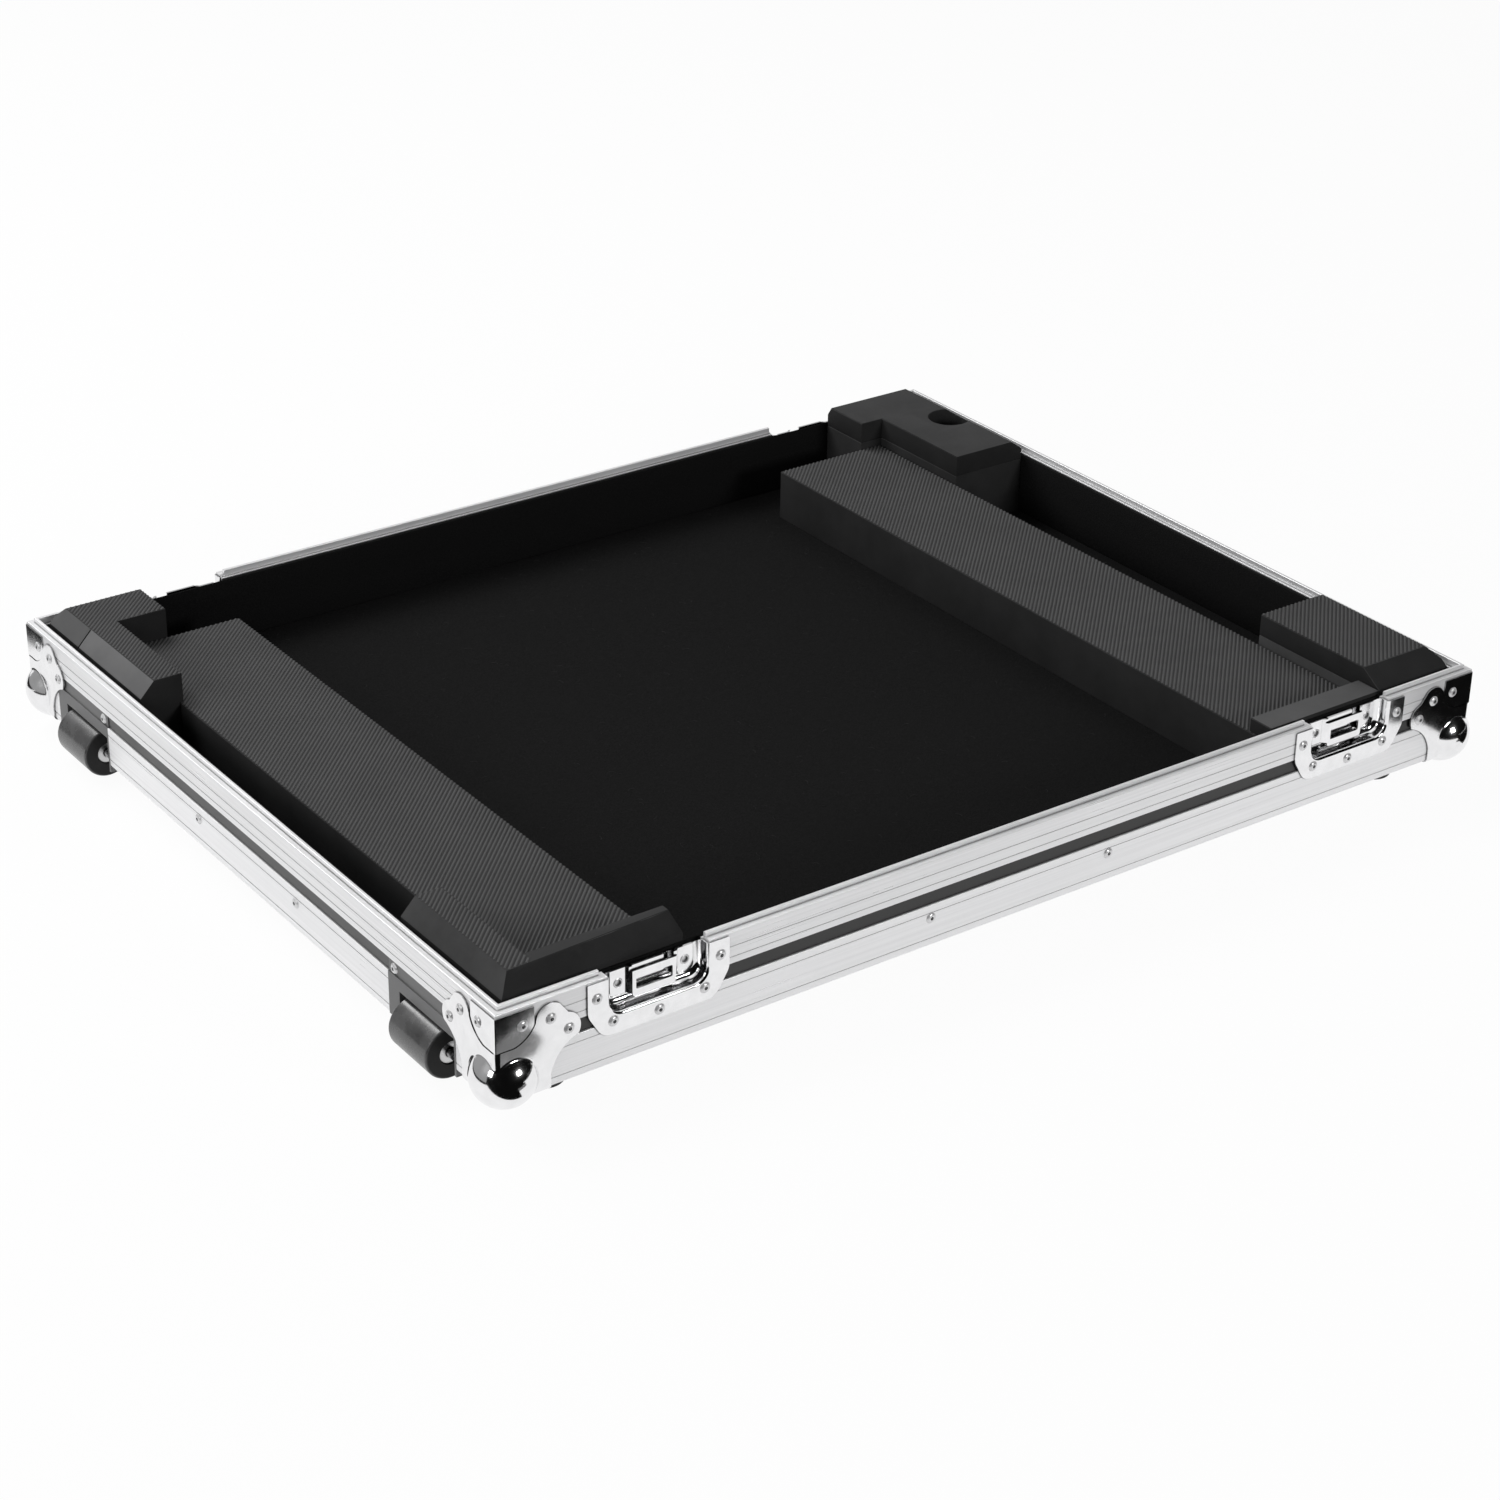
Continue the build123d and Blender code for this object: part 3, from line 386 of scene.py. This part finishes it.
# CAD nodes that keep their shape and only need a finish
cadCrease, softCrease, grownCrease = 28, 32, 40  # degrees, past which an edge shades sharp
finishOfNode = {}
for edge in ("front_rim_left", "front_rim_middle", "front_rim_right",
             "rear_rim_left", "rear_rim_middle", "rear_rim_right"):
    finishOfNode[edge] = rimAcross
for edge in ("left", "right"):
    finishOfNode[edge + "_rim"] = rimDeep
    finishOfNode[edge + "_edging"] = edgingDeep
for edge in ("front", "rear"):
    finishOfNode[edge + "_edging"] = edgingAcross
    finishOfNode[edge + "_wheel_housing"] = paintedLightHousing
    finishOfNode[edge + "_wheel_axle"] = axleSteel
    finishOfNode[edge + "_roller"] = rollerRubber
    finishOfNode[edge + "_roller_bearings"] = axleSteel
for corner in ("front_left", "front_right", "rear_left", "rear_right"):
    finishOfNode[corner + "_ball_corner"] = cornerSteel
    finishOfNode[corner + "_rim_brace"] = cornerSteel
    finishOfNode[corner + "_latch_dish"] = latchSteel
    finishOfNode[corner + "_latch_keeper"] = latchSteel
for board in ("front_board", "rear_board", "base_board"):
    finishOfNode[board] = laminateBoard
# the side boards take the laminate painted lighter, as painted light
for board in ("left_board", "right_board"):
    finishOfNode[board] = paintedLightLaminate
finishOfNode["rubber_feet"] = footRubber
finishOfNode["foot_screws"] = axleSteel
for rivets in ("corner_rivets", "latch_rivets", "edging_rivets"):
    finishOfNode[rivets] = rivetSteel

for nodeName, finish in finishOfNode.items():
    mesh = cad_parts[nodeName].data
    mesh.materials.clear()
    mesh.materials.append(finish)
    mesh.shade_smooth()
    mesh.set_sharp_from_angle(angle=math.radians(cadCrease))
print("CAD nodes finished")


# Mesh helpers
weldDistance = 5e-6
cutSlack = 1e-6
flatAngle = 0.6  # degrees, under which two faces are one


def alongAxis(axis, length):
    vector = Vector((0.0, 0.0, 0.0))
    vector[axis] = length
    return vector


def weldedCopy(nodeName):
    body = bmesh.new()
    body.from_mesh(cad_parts[nodeName].data)
    bmesh.ops.remove_doubles(body, verts=body.verts, dist=weldDistance)
    return body


def solidCopy(nodeName):
    # the CAD node's triangles, welded and with flat faces made whole
    body = weldedCopy(nodeName)
    bmesh.ops.dissolve_limit(body, angle_limit=math.radians(flatAngle),
                             verts=body.verts, edges=body.edges)
    return body


def softenEdges(body, angle, width):
    limit = math.radians(angle)
    sharp = [edge for edge in body.edges
             if len(edge.link_faces) == 2 and edge.calc_face_angle() > limit]
    bmesh.ops.bevel(body, geom=sharp, offset=width, segments=2, profile=0.5,
                    affect="EDGES", clamp_overlap=True)


def gridCut(body, step):
    # parallel cuts every step along X, Y and Z, so that flat faces can move a little
    corners = [vert.co.copy() for vert in body.verts]
    for axis in range(3):
        low = min(corner[axis] for corner in corners)
        high = max(corner[axis] for corner in corners)
        count = int((high - low) / step)
        for index in range(1, count + 1):
            place = low + (high - low) * index / (count + 1)
            geometry = body.verts[:] + body.edges[:] + body.faces[:]
            bmesh.ops.bisect_plane(body, geom=geometry, dist=cutSlack,
                                   plane_co=alongAxis(axis, place), plane_no=alongAxis(axis, 1.0))


def pieceFromBody(body, name, finish):
    mesh = bpy.data.meshes.new(name)
    body.to_mesh(mesh)
    body.free()
    mesh.materials.append(finish)
    mesh.shade_smooth()
    mesh.set_sharp_from_angle(angle=math.radians(softCrease))
    piece = bpy.data.objects.new(name, mesh)
    bpy.context.scene.collection.objects.link(piece)
    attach(piece, "case")
    return piece


# Felt lining: five sheets, a little uneven where they are glued down
feltLook = {"softEdge": 0.0012, "sharpAngle": 40.0,
            "unevenness": 0.00035, "wavelength": 0.05, "step": 0.02}
liningCuts = {  # each sheet's flat size in metres, and the board that it is glued on
    "floor_lining": ((0.781, 0.614), "base_board"),
    "front_lining": ((0.778, 0.048), "front_board"),
    "rear_lining": ((0.778, 0.048), "rear_board"),
    "left_lining": ((0.605, 0.048), "left_board"),
    "right_lining": ((0.605, 0.048), "right_board"),
}
for nodeName, (cut, board) in liningCuts.items():
    body = solidCopy(nodeName)
    softenEdges(body, feltLook["sharpAngle"], feltLook["softEdge"])
    gridCut(body, feltLook["step"])
    body.normal_update()
    for vert in body.verts:
        sway = noise.noise(vert.co / feltLook["wavelength"])
        vert.co += vert.normal * sway * feltLook["unevenness"]
    sheet = pieceFromBody(body, nodeName + "_felt", felt)
    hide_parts(nodeName)
print("felt lining made")

# Foam blocks: dark cut faces, a moulded skin on top and paler lower layers
foamLook = {"softEdge": 0.0006, "sharpAngle": 20.0, "unevenness": 0.0004, "inset": 0.00016,
            "wavelength": 0.07, "step": 0.024, "grooveDepth": 0.00045}
foamBlocks = ("left_riser", "right_riser", "front_left_block", "rear_left_block",
              "rear_right_block", "rear_right_block_base",
              "front_right_block", "front_right_block_base", "front_right_strip")
ribbedBlocks = ("left_riser", "right_riser",
                "front_left_block", "rear_left_block", "front_right_block")
# the front left block's ribbed piece ends where its plain front arm begins
ribLimit = {"front_left_block": -0.356}
seamDepth = 0.2555  # the rear left block's bevel changes its shade here
faceRules = {"levelNormal": 0.99, "topNormal": 0.97, "wallNormal": 0.8,
             "bevelRise": 0.3, "bevelLean": -0.5, "topDepth": 0.003, "topSlack": 0.0005}
cutSlot, topSlot, bevelSlot, rearBevelSlot = range(4)
cutFinish = {"front_right_block_base": foamCutPale, "rear_right_block_base": foamCutMiddle}
topOutlines = {}


def foamFace(face, high):
    # which of the block's four finishes a face takes
    middle = face.calc_center_median()
    if face.normal.z > faceRules["topNormal"] and middle.z > high - faceRules["topDepth"]:
        return topSlot
    if face.normal.z > faceRules["bevelRise"] and face.normal.x < faceRules["bevelLean"]:
        return bevelSlot if middle.y < seamDepth else rearBevelSlot
    return cutSlot


def topOutline(body, high):
    # the edges round the level top, seen from above
    level, outline = faceRules["levelNormal"], []
    for face in body.faces:
        if face.normal.z > level and face.calc_center_median().z > high - faceRules["topSlack"]:
            for edge in face.edges:
                if len([near for near in edge.link_faces if near.normal.z > level]) == 1:
                    outline.append([vert.co.xy.copy() for vert in edge.verts])
    return outline


for nodeName in foamBlocks:
    body = solidCopy(nodeName)
    high = max(vert.co.z for vert in body.verts)
    body.normal_update()
    if nodeName in ribbedBlocks:
        topOutlines[nodeName] = (high, topOutline(body, high))
        for vert in body.verts:
            if vert.co.z > high - faceRules["topSlack"]:
                vert.co.z -= foamLook["grooveDepth"]
        high -= foamLook["grooveDepth"]
    softenEdges(body, foamLook["sharpAngle"], foamLook["softEdge"])
    gridCut(body, foamLook["step"])
    body.normal_update()
    for face in body.faces:
        face.material_index = foamFace(face, high)
    for vert in body.verts:
        sway = noise.noise(vert.co / foamLook["wavelength"]) * foamLook["unevenness"]
        if abs(vert.normal.z) < faceRules["wallNormal"]:
            vert.co += vert.normal * (sway - foamLook["inset"])
    block = pieceFromBody(body, nodeName + "_foam", cutFinish.get(nodeName, foamCut))
    topFinish = foamPaleSkin if nodeName == "front_right_strip" else foamSkin
    # the top between the ribs takes the groove finish, darkened as painted shade
    block.data.materials.append(paintedShadeGrooveFoam if nodeName in ribbedBlocks else topFinish)
    for paleBevel in (foamStrip, foamPaleSkin):
        block.data.materials.append(paleBevel if nodeName == "rear_left_block" else foamSkin)
    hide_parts(nodeName)
print("foam blocks made")


# Geometry Nodes helpers
def newTree(name, inputs, look):
    # inputs holds each input's name and kind, and look its value
    tree = bpy.data.node_groups.new(name, "GeometryNodeTree")
    tree.interface.new_socket("Geometry", in_out="INPUT", socket_type="NodeSocketGeometry")
    for label, kind in inputs.items():
        socket = tree.interface.new_socket(label, in_out="INPUT", socket_type=kind)
        socket.default_value = look[label]
    tree.interface.new_socket("Geometry", in_out="OUTPUT", socket_type="NodeSocketGeometry")
    return tree, tree.nodes.new("NodeGroupInput"), tree.nodes.new("NodeGroupOutput")


def closeTree(tree, source, output, finish):
    realize = addNode(tree, "GeometryNodeRealizeInstances")
    coat = addNode(tree, "GeometryNodeSetMaterial")
    coat.inputs["Material"].default_value = finish
    tree.links.new(source, realize.inputs["Geometry"])
    wire(tree,
         (realize, "Geometry", coat, "Geometry"),
         (coat, "Geometry", output, "Geometry"))


def grow(seedMesh, name, tree, look):
    # runs the tree on the seed mesh and leaves a plain mesh
    piece = bpy.data.objects.new(name, seedMesh)
    bpy.context.scene.collection.objects.link(piece)
    modifier = piece.modifiers.new(name, "NODES")
    modifier.node_group = tree
    for item in tree.interface.items_tree:
        if item.in_out == "INPUT" and item.name in look:
            modifier[item.identifier] = look[item.name]
    bpy.context.view_layer.update()
    depsgraph = bpy.context.evaluated_depsgraph_get()
    baked = bpy.data.meshes.new_from_object(piece.evaluated_get(depsgraph), depsgraph=depsgraph)
    piece.modifiers.clear()
    piece.data = baked
    baked.shade_smooth()
    baked.set_sharp_from_angle(angle=math.radians(grownCrease))
    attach(piece, "case")
    return piece


# Ribs moulded into the tops of the foam, all turned the same way
ribLook = {"pitch": 0.00274, "Width": 0.00165, "Height": 0.00075,
           "endGap": 0.0009, "shortest": 0.0036, "angle": 45.0, "sides": 8}


def ribSegments(outline, look, limit):
    pitch, endGap, angle = look["pitch"], look["endGap"], math.radians(look["angle"])
    along = Vector((math.cos(angle), math.sin(angle)))
    across = Vector((-along.y, along.x))
    reach = [point.dot(across) for pair in outline for point in pair]
    segments = []
    for index in range(math.ceil(min(reach) / pitch), math.floor(max(reach) / pitch) + 1):
        line = index * pitch
        base = across * line
        crossings = []
        for first, second in outline:
            a = first.dot(across) - line
            b = second.dot(across) - line
            if (a < 0.0) != (b < 0.0):
                crossings.append(first.lerp(second, a / (a - b)).dot(along))
        crossings.sort()
        for start, stop in zip(crossings[0::2], crossings[1::2]):
            # a rib's x grows along it, so a limit in x cuts its far end
            stop = min(stop, (limit - base.x) / along.x)
            if stop - start > look["shortest"]:
                segments.append((base + along * (start + endGap), base + along * (stop - endGap)))
    return segments


ribInputs = {"Width": "NodeSocketFloat", "Height": "NodeSocketFloat"}
ribTree, ribIn, ribOut = newTree("foam_rib_tree", ribInputs, ribLook)
ribCurve = addNode(ribTree, "GeometryNodeMeshToCurve")
ribProfile = addNode(ribTree, "GeometryNodeCurvePrimitiveCircle")
ribProfile.inputs["Resolution"].default_value = ribLook["sides"]
ribProfile.inputs["Radius"].default_value = 0.5  # one across, then scaled to the rib
ribScale = addNode(ribTree, "ShaderNodeCombineXYZ")
ribShape = addNode(ribTree, "GeometryNodeTransform")
ribSweep = addNode(ribTree, "GeometryNodeCurveToMesh")
ribSweep.inputs["Fill Caps"].default_value = True
ribScale.inputs["Z"].default_value = 1.0
wire(ribTree,
     (ribIn, "Geometry", ribCurve, "Mesh"),
     (ribIn, "Width", ribScale, "X"),
     (ribIn, "Height", ribScale, "Y"),
     (ribProfile, "Curve", ribShape, "Geometry"),
     (ribScale, "Vector", ribShape, "Scale"),
     (ribCurve, "Curve", ribSweep, "Curve"),
     (ribShape, "Geometry", ribSweep, "Profile Curve"))
# the ribs take the rib finish, lightened as painted light
closeTree(ribTree, ribSweep.outputs["Mesh"], ribOut, paintedLightRibFoam)

for nodeName, (high, outline) in topOutlines.items():
    seed = bpy.data.meshes.new(nodeName + "_rib_lines")
    points, edges = [], []
    sink = high - ribLook["Height"] / 2
    for start, stop in ribSegments(outline, ribLook, ribLimit.get(nodeName, math.inf)):
        edges.append((len(points), len(points) + 1))
        points += [(start.x, start.y, sink), (stop.x, stop.y, sink)]
    seed.from_pydata(points, edges, [])
    ribs = grow(seed, nodeName + "_ribs", ribTree, ribLook)
    print(nodeName, len(edges), "ribs")


# Lint lying on the felt floor: curled fibres of three sides
lintLook = {"Density": 2600.0, "Seed": 7, "Thickness": 0.00009, "rest": 0.00012,
            "shortest": 0.3, "longest": 1.2, "sides": 3, "steps": 6,
            "Start": (-0.0024, 0.0, 0.0), "Middle": (0.0002, 0.0019, 0.0002),
            "End": (0.0022, 0.0003, 0.0)}
lintAreas = {"well": ((-0.252, -0.298), (0.214, 0.298)), "bay": ((0.325, -0.178), (0.382, 0.156))}
lintInputs = {"Density": "NodeSocketFloat", "Seed": "NodeSocketInt",
              "Thickness": "NodeSocketFloat"}
lintTree, lintIn, lintOut = newTree("lint_tree", lintInputs, lintLook)
lintPoints = addNode(lintTree, "GeometryNodeDistributePointsOnFaces")
lintFibre = addNode(lintTree, "GeometryNodeCurveQuadraticBezier")
lintFibre.inputs["Resolution"].default_value = lintLook["steps"]
for bend in ("Start", "Middle", "End"):
    lintFibre.inputs[bend].default_value = lintLook[bend]
lintProfile = addNode(lintTree, "GeometryNodeCurvePrimitiveCircle")
lintProfile.inputs["Resolution"].default_value = lintLook["sides"]
lintSweep = addNode(lintTree, "GeometryNodeCurveToMesh")
lintTurn = addNode(lintTree, "FunctionNodeRandomValue", data_type="FLOAT_VECTOR")
lintTurn.inputs["Max"].default_value = (0.0, 0.0, math.tau)
lintScale = addNode(lintTree, "FunctionNodeRandomValue", data_type="FLOAT")
lintPlaced = addNode(lintTree, "GeometryNodeInstanceOnPoints")
wire(lintTree,
     (lintIn, "Geometry", lintPoints, "Mesh"),
     (lintIn, "Density", lintPoints, "Density"),
     (lintIn, "Seed", lintPoints, "Seed"),
     (lintIn, "Seed", lintTurn, "Seed"),
     (lintIn, "Seed", lintScale, "Seed"),
     (lintIn, "Thickness", lintProfile, "Radius"),
     (lintFibre, "Curve", lintSweep, "Curve"),
     (lintProfile, "Curve", lintSweep, "Profile Curve"),
     (lintPoints, "Points", lintPlaced, "Points"),
     (lintSweep, "Mesh", lintPlaced, "Instance"),
     (lintTurn, "Value", lintPlaced, "Rotation"))
# the random node has a socket for each kind of number, and only this kind's are on
for socket in lintScale.outputs:
    if socket.enabled and socket.type == "VALUE":
        lintTree.links.new(socket, lintPlaced.inputs["Scale"])
for socket in lintScale.inputs:
    if socket.enabled and socket.name == "Min":
        socket.default_value = lintLook["shortest"]
    if socket.enabled and socket.name == "Max":
        socket.default_value = lintLook["longest"]
closeTree(lintTree, lintPlaced.outputs["Instances"], lintOut, lint)

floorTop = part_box("floor_lining")[1][2] + lintLook["rest"]
lintPatch = bpy.data.meshes.new("lint_patches")
patchPoints = [(x, y, floorTop) for low, high in lintAreas.values()
               for x, y in (low, (high[0], low[1]), high, (low[0], high[1]))]
lintPatch.from_pydata(patchPoints, [], [(0, 1, 2, 3), (4, 5, 6, 7)])
lintPiece = grow(lintPatch, "floor_lint", lintTree, lintLook)
print("lint scattered,", len(lintPiece.data.polygons), "faces")


# The snapped stems left in the pop rivets; the short rivets of the keepers are solid
stemLook = {"Radius": 0.00105, "Height": 0.00055, "recess": 0.0009, "shortRivet": 0.005,
            "sides": 14, "capRings": 6, "taper": 0.86, "capRise": 0.4}


def rivetSites(nodeName):
    # where each pop rivet's recess ends, and which way it faces
    body = weldedCopy(nodeName)
    reached = set()
    sites = []
    for start in body.verts:
        if start in reached:
            continue
        reached.add(start)
        island, waiting = [], [start]
        while waiting:
            vert = waiting.pop()
            island.append(vert)
            for edge in vert.link_edges:
                other = edge.other_vert(vert)
                if other not in reached:
                    reached.add(other)
                    waiting.append(other)
        low = Vector([min(vert.co[axis] for vert in island) for axis in range(3)])
        high = Vector([max(vert.co[axis] for vert in island) for axis in range(3)])
        size = high - low
        # a rivet is as wide as it is high, and its length is the odd one out
        axis = max(range(3), key=lambda index: abs(size[index] - sorted(size)[1]))
        if size[axis] < stemLook["shortRivet"]:
            continue
        # it faces down under the base, and elsewhere away from the middle of the case
        outward = -1.0 if axis == 2 or low[axis] + high[axis] < 0 else 1.0
        facing = alongAxis(axis, outward)
        place = (low + high) / 2
        place[axis] = (high[axis] if outward > 0 else low[axis]) - outward * stemLook["recess"]
        sites.append((place, facing))
    body.free()
    return sites


stemInputs = {"Radius": "NodeSocketFloat", "Height": "NodeSocketFloat"}
stemTree, stemIn, stemOut = newTree("rivet_stem_tree", stemInputs, stemLook)
stemBody = addNode(stemTree, "GeometryNodeMeshCone", fill_type="NONE")
stemBody.inputs["Vertices"].default_value = stemLook["sides"]
stemCap = addNode(stemTree, "GeometryNodeMeshUVSphere")
stemCap.inputs["Segments"].default_value = stemLook["sides"]
stemCap.inputs["Rings"].default_value = stemLook["capRings"]
stemCapPlace = addNode(stemTree, "GeometryNodeTransform")
taper = stemLook["taper"]
stemCapPlace.inputs["Scale"].default_value = (taper, taper, stemLook["capRise"])
stemLift = addNode(stemTree, "ShaderNodeCombineXYZ")
stemTaper = addNode(stemTree, "ShaderNodeMath", operation="MULTIPLY")
stemTaper.inputs[1].default_value = taper
stemJoin = addNode(stemTree, "GeometryNodeJoinGeometry")
stemFacing = addNode(stemTree, "GeometryNodeInputNamedAttribute", data_type="FLOAT_VECTOR")
stemFacing.inputs["Name"].default_value = "facing"
stemAlign = addNode(stemTree, "FunctionNodeAlignRotationToVector", axis="Z")
stemPlaced = addNode(stemTree, "GeometryNodeInstanceOnPoints")
wire(stemTree,
     (stemIn, "Radius", stemBody, "Radius Bottom"),
     (stemIn, "Radius", stemTaper, 0),
     (stemTaper, 0, stemBody, "Radius Top"),
     (stemIn, "Height", stemBody, "Depth"),
     (stemIn, "Radius", stemCap, "Radius"),
     (stemIn, "Height", stemLift, "Z"),
     (stemLift, "Vector", stemCapPlace, "Translation"),
     (stemCap, "Mesh", stemCapPlace, "Geometry"),
     (stemBody, "Mesh", stemJoin, "Geometry"),
     (stemCapPlace, "Geometry", stemJoin, "Geometry"),
     (stemIn, "Geometry", stemPlaced, "Points"),
     (stemJoin, "Geometry", stemPlaced, "Instance"),
     (stemFacing, "Attribute", stemAlign, "Vector"),
     (stemAlign, "Rotation", stemPlaced, "Rotation"))
closeTree(stemTree, stemPlaced.outputs["Instances"], stemOut, mandrelSteel)

for nodeName in ("corner_rivets", "latch_rivets", "edging_rivets"):
    sites = rivetSites(nodeName)
    seed = bpy.data.meshes.new(nodeName + "_stem_sites")
    seed.from_pydata([place for place, facing in sites], [], [])
    facings = seed.attributes.new("facing", "FLOAT_VECTOR", "POINT")
    for index, (place, facing) in enumerate(sites):
        facings.data[index].vector = facing
    stems = grow(seed, nodeName + "_stems", stemTree, stemLook)
    print(nodeName, len(sites), "stems")


# Studio
studio = {
    "floorSize": 9.0,
    "floorShade": 0.86,
    "floorLift": 0.95,  # the share of white in what the camera and the metal see of the floor
    "skyLight": 0.14,
}
lampAim = (0.0, 0.0, 0.05)
lamps = {
    "back_softbox": {"place": (-0.8, 1.6, 2.0), "size": (2.0, 1.4), "power": 50.0},
    "left_softbox": {"place": (-2.3, -0.2, 1.1), "size": (1.6, 1.0), "power": 20.0},
    "front_softbox": {"place": (0.7, -2.6, 1.0), "size": (0.65, 0.5), "power": 28.0},
}
# painted reflections: cards that glow dark or grey and that only the metal shows, standing for a
# dark room in front and on the left with white paper near the case, and grey walls on the left and
# behind; the small ones are cut to the reflections of single braces and flanges
lying = 0.0008  # height of a card that lies on the floor
reflectionCardEdges = {
    "front_card": [(-3.4, -2.9, 0.0), (4.2, -2.9, 0.0), (4.2, -2.9, 2.6), (-3.4, -2.9, 2.6)],
    "left_card": [(-2.9, -2.9, 0.0), (-2.9, -2.9, 2.6), (-2.9, 2.2, 2.6), (-2.9, 2.2, 0.0)],
    "corner_floor_card": [(-2.9, -2.9, lying), (-0.372, -2.9, lying), (-0.372, -0.335, lying),
                          (-2.9, -0.335, lying)],
    "front_floor_card": [(-0.372, -2.9, lying), (0.455, -2.9, lying), (0.455, -0.52, lying),
                         (-0.1, -0.52, lying), (-0.309, -0.46, lying), (-0.372, -0.46, lying)],
    "right_floor_card": [(0.455, -2.9, lying), (1.6, -2.9, lying), (1.6, -0.345, lying),
                         (0.429, -0.345, lying), (0.429, -0.39, lying), (0.41, -0.395, lying),
                         (0.41, -0.4, lying), (0.455, -0.45, lying)],
    "right_card": [(2.4, -2.9, 0.0), (2.4, -2.9, 2.6), (2.4, -0.6, 2.6), (2.4, -0.6, 0.0)],
    "left_grey_card": [(-0.75, -0.34, 0.0), (-0.75, -0.34, 1.2),
                       (-0.75, 1.3, 1.2), (-0.75, 1.3, 0.0)],
    "ceiling_card": [(-3.4, -2.9, 2.6), (4.2, -2.9, 2.6), (4.2, -1.5, 2.6), (-3.4, -1.5, 2.6)],
    "brace_floor_card": [(-0.372, -0.46, lying), (-0.3, -0.46, lying), (-0.3, -0.415, lying),
                         (-0.314, -0.409, lying), (-0.352, -0.394, lying),
                         (-0.372, -0.388, lying)],
    "brace_grey_card": [(-0.372, -0.388, lying), (-0.352, -0.394, lying), (-0.322, -0.404, lying),
                        (-0.322, -0.386, lying), (-0.335, -0.375, lying), (-0.372, -0.366, lying)],
    "left_floor_card": [(-2.9, -0.335, lying), (-0.56, -0.335, lying), (-0.56, 0.385, lying),
                        (-2.9, 0.385, lying)],
    "rear_floor_card": [(-2.9, 0.425, lying), (-0.449, 0.425, lying), (-0.449, 1.6, lying),
                        (-2.9, 1.6, lying)],
    "grey_card": [(0.3, 2.6, 0.45), (0.3, 2.6, 2.3), (2.9, 0.9, 2.3), (2.9, 0.9, 0.45)],
}
# how brightly each card glows in the reflections: the black ones barely, the grey ones as painted
# grey reflections
darkReflectionGlow = 0.004
reflectionCardGlow = {"grey_card": 0.5, "brace_grey_card": 0.2, "left_grey_card": 0.33}


def seenStraight(tree):
    # 1 for the rays that show a background, from the camera, a mirror or glass, and 0 for the rest
    rays = addNode(tree, "ShaderNodeLightPath")
    nearer = addNode(tree, "ShaderNodeMath", operation="MAXIMUM")
    either = addNode(tree, "ShaderNodeMath", operation="MAXIMUM")
    wire(tree,
         (rays, "Is Camera Ray", nearer, 0),
         (rays, "Is Glossy Ray", nearer, 1),
         (nearer, 0, either, 0),
         (rays, "Is Transmission Ray", either, 1))
    return either


def makeFloor(setup):
    half = setup["floorSize"] / 2
    mesh = bpy.data.meshes.new("floor")
    corners = [(-half, -half, 0), (half, -half, 0), (half, half, 0), (-half, half, 0)]
    mesh.from_pydata(corners, [], [(0, 1, 2, 3)])
    finish, tree, shader = newFinish("floor_paper")
    tree.nodes.remove(shader)
    paper = addNode(tree, "ShaderNodeBsdfDiffuse")
    paper.inputs["Color"].default_value = (*grey(setup["floorShade"]), 1.0)
    glow = addNode(tree, "ShaderNodeEmission")
    share = addNode(tree, "ShaderNodeMath", operation="MULTIPLY")
    share.inputs[1].default_value = setup["floorLift"]
    mix = addNode(tree, "ShaderNodeMixShader")
    wire(tree,
         (seenStraight(tree), 0, share, 0),
         (share, 0, mix, "Fac"),
         (paper, "BSDF", mix, 1),
         (glow, "Emission", mix, 2),
         (mix, "Shader", tree.nodes["Material Output"], "Surface"))
    mesh.materials.append(finish)
    floor = bpy.data.objects.new("floor", mesh)
    bpy.context.scene.collection.objects.link(floor)


def makeReflectionCards(cards, glows):
    for name, corners in cards.items():
        finish, tree, shader = newFinish(name + "_cloth")
        tree.nodes.remove(shader)
        glow = addNode(tree, "ShaderNodeEmission")
        glow.inputs["Strength"].default_value = glows.get(name, darkReflectionGlow)
        tree.links.new(glow.outputs["Emission"], tree.nodes["Material Output"].inputs["Surface"])
        mesh = bpy.data.meshes.new(name)
        mesh.from_pydata(corners, [], [tuple(range(len(corners)))])
        mesh.materials.append(finish)
        card = bpy.data.objects.new(name, mesh)
        bpy.context.scene.collection.objects.link(card)
        # the cards are painted reflections: the camera, the diffuse light and the shadows don't
        # see them
        card.visible_camera = False
        card.visible_diffuse = False
        card.visible_shadow = False


def makeWorld(setup):
    world = bpy.data.worlds.new("studio")
    world.use_nodes = True
    bpy.context.scene.world = world
    tree = world.node_tree
    sky = tree.nodes["Background"]
    sky.inputs["Color"].default_value = (1.0, 1.0, 1.0, 1.0)
    level = addNode(tree, "ShaderNodeMapRange")
    level.inputs["To Min"].default_value = setup["skyLight"]
    level.inputs["To Max"].default_value = 1.0
    wire(tree,
         (seenStraight(tree), 0, level, "Value"),
         (level, "Result", sky, "Strength"))


def addLamp(name, setup):
    lamp = bpy.data.lights.new(name, "AREA")
    lamp.shape = "RECTANGLE"
    lamp.size, lamp.size_y = setup["size"]
    lamp.energy = setup["power"]
    holder = bpy.data.objects.new(name, lamp)
    holder.location = setup["place"]
    holder.rotation_mode = "QUATERNION"
    aim = Vector(lampAim) - Vector(setup["place"])
    holder.rotation_quaternion = aim.to_track_quat("-Z", "Y")
    bpy.context.scene.collection.objects.link(holder)


makeFloor(studio)
makeReflectionCards(reflectionCardEdges, reflectionCardGlow)
makeWorld(studio)
for lampName, lampSetup in lamps.items():
    addLamp(lampName, lampSetup)
print("studio made")
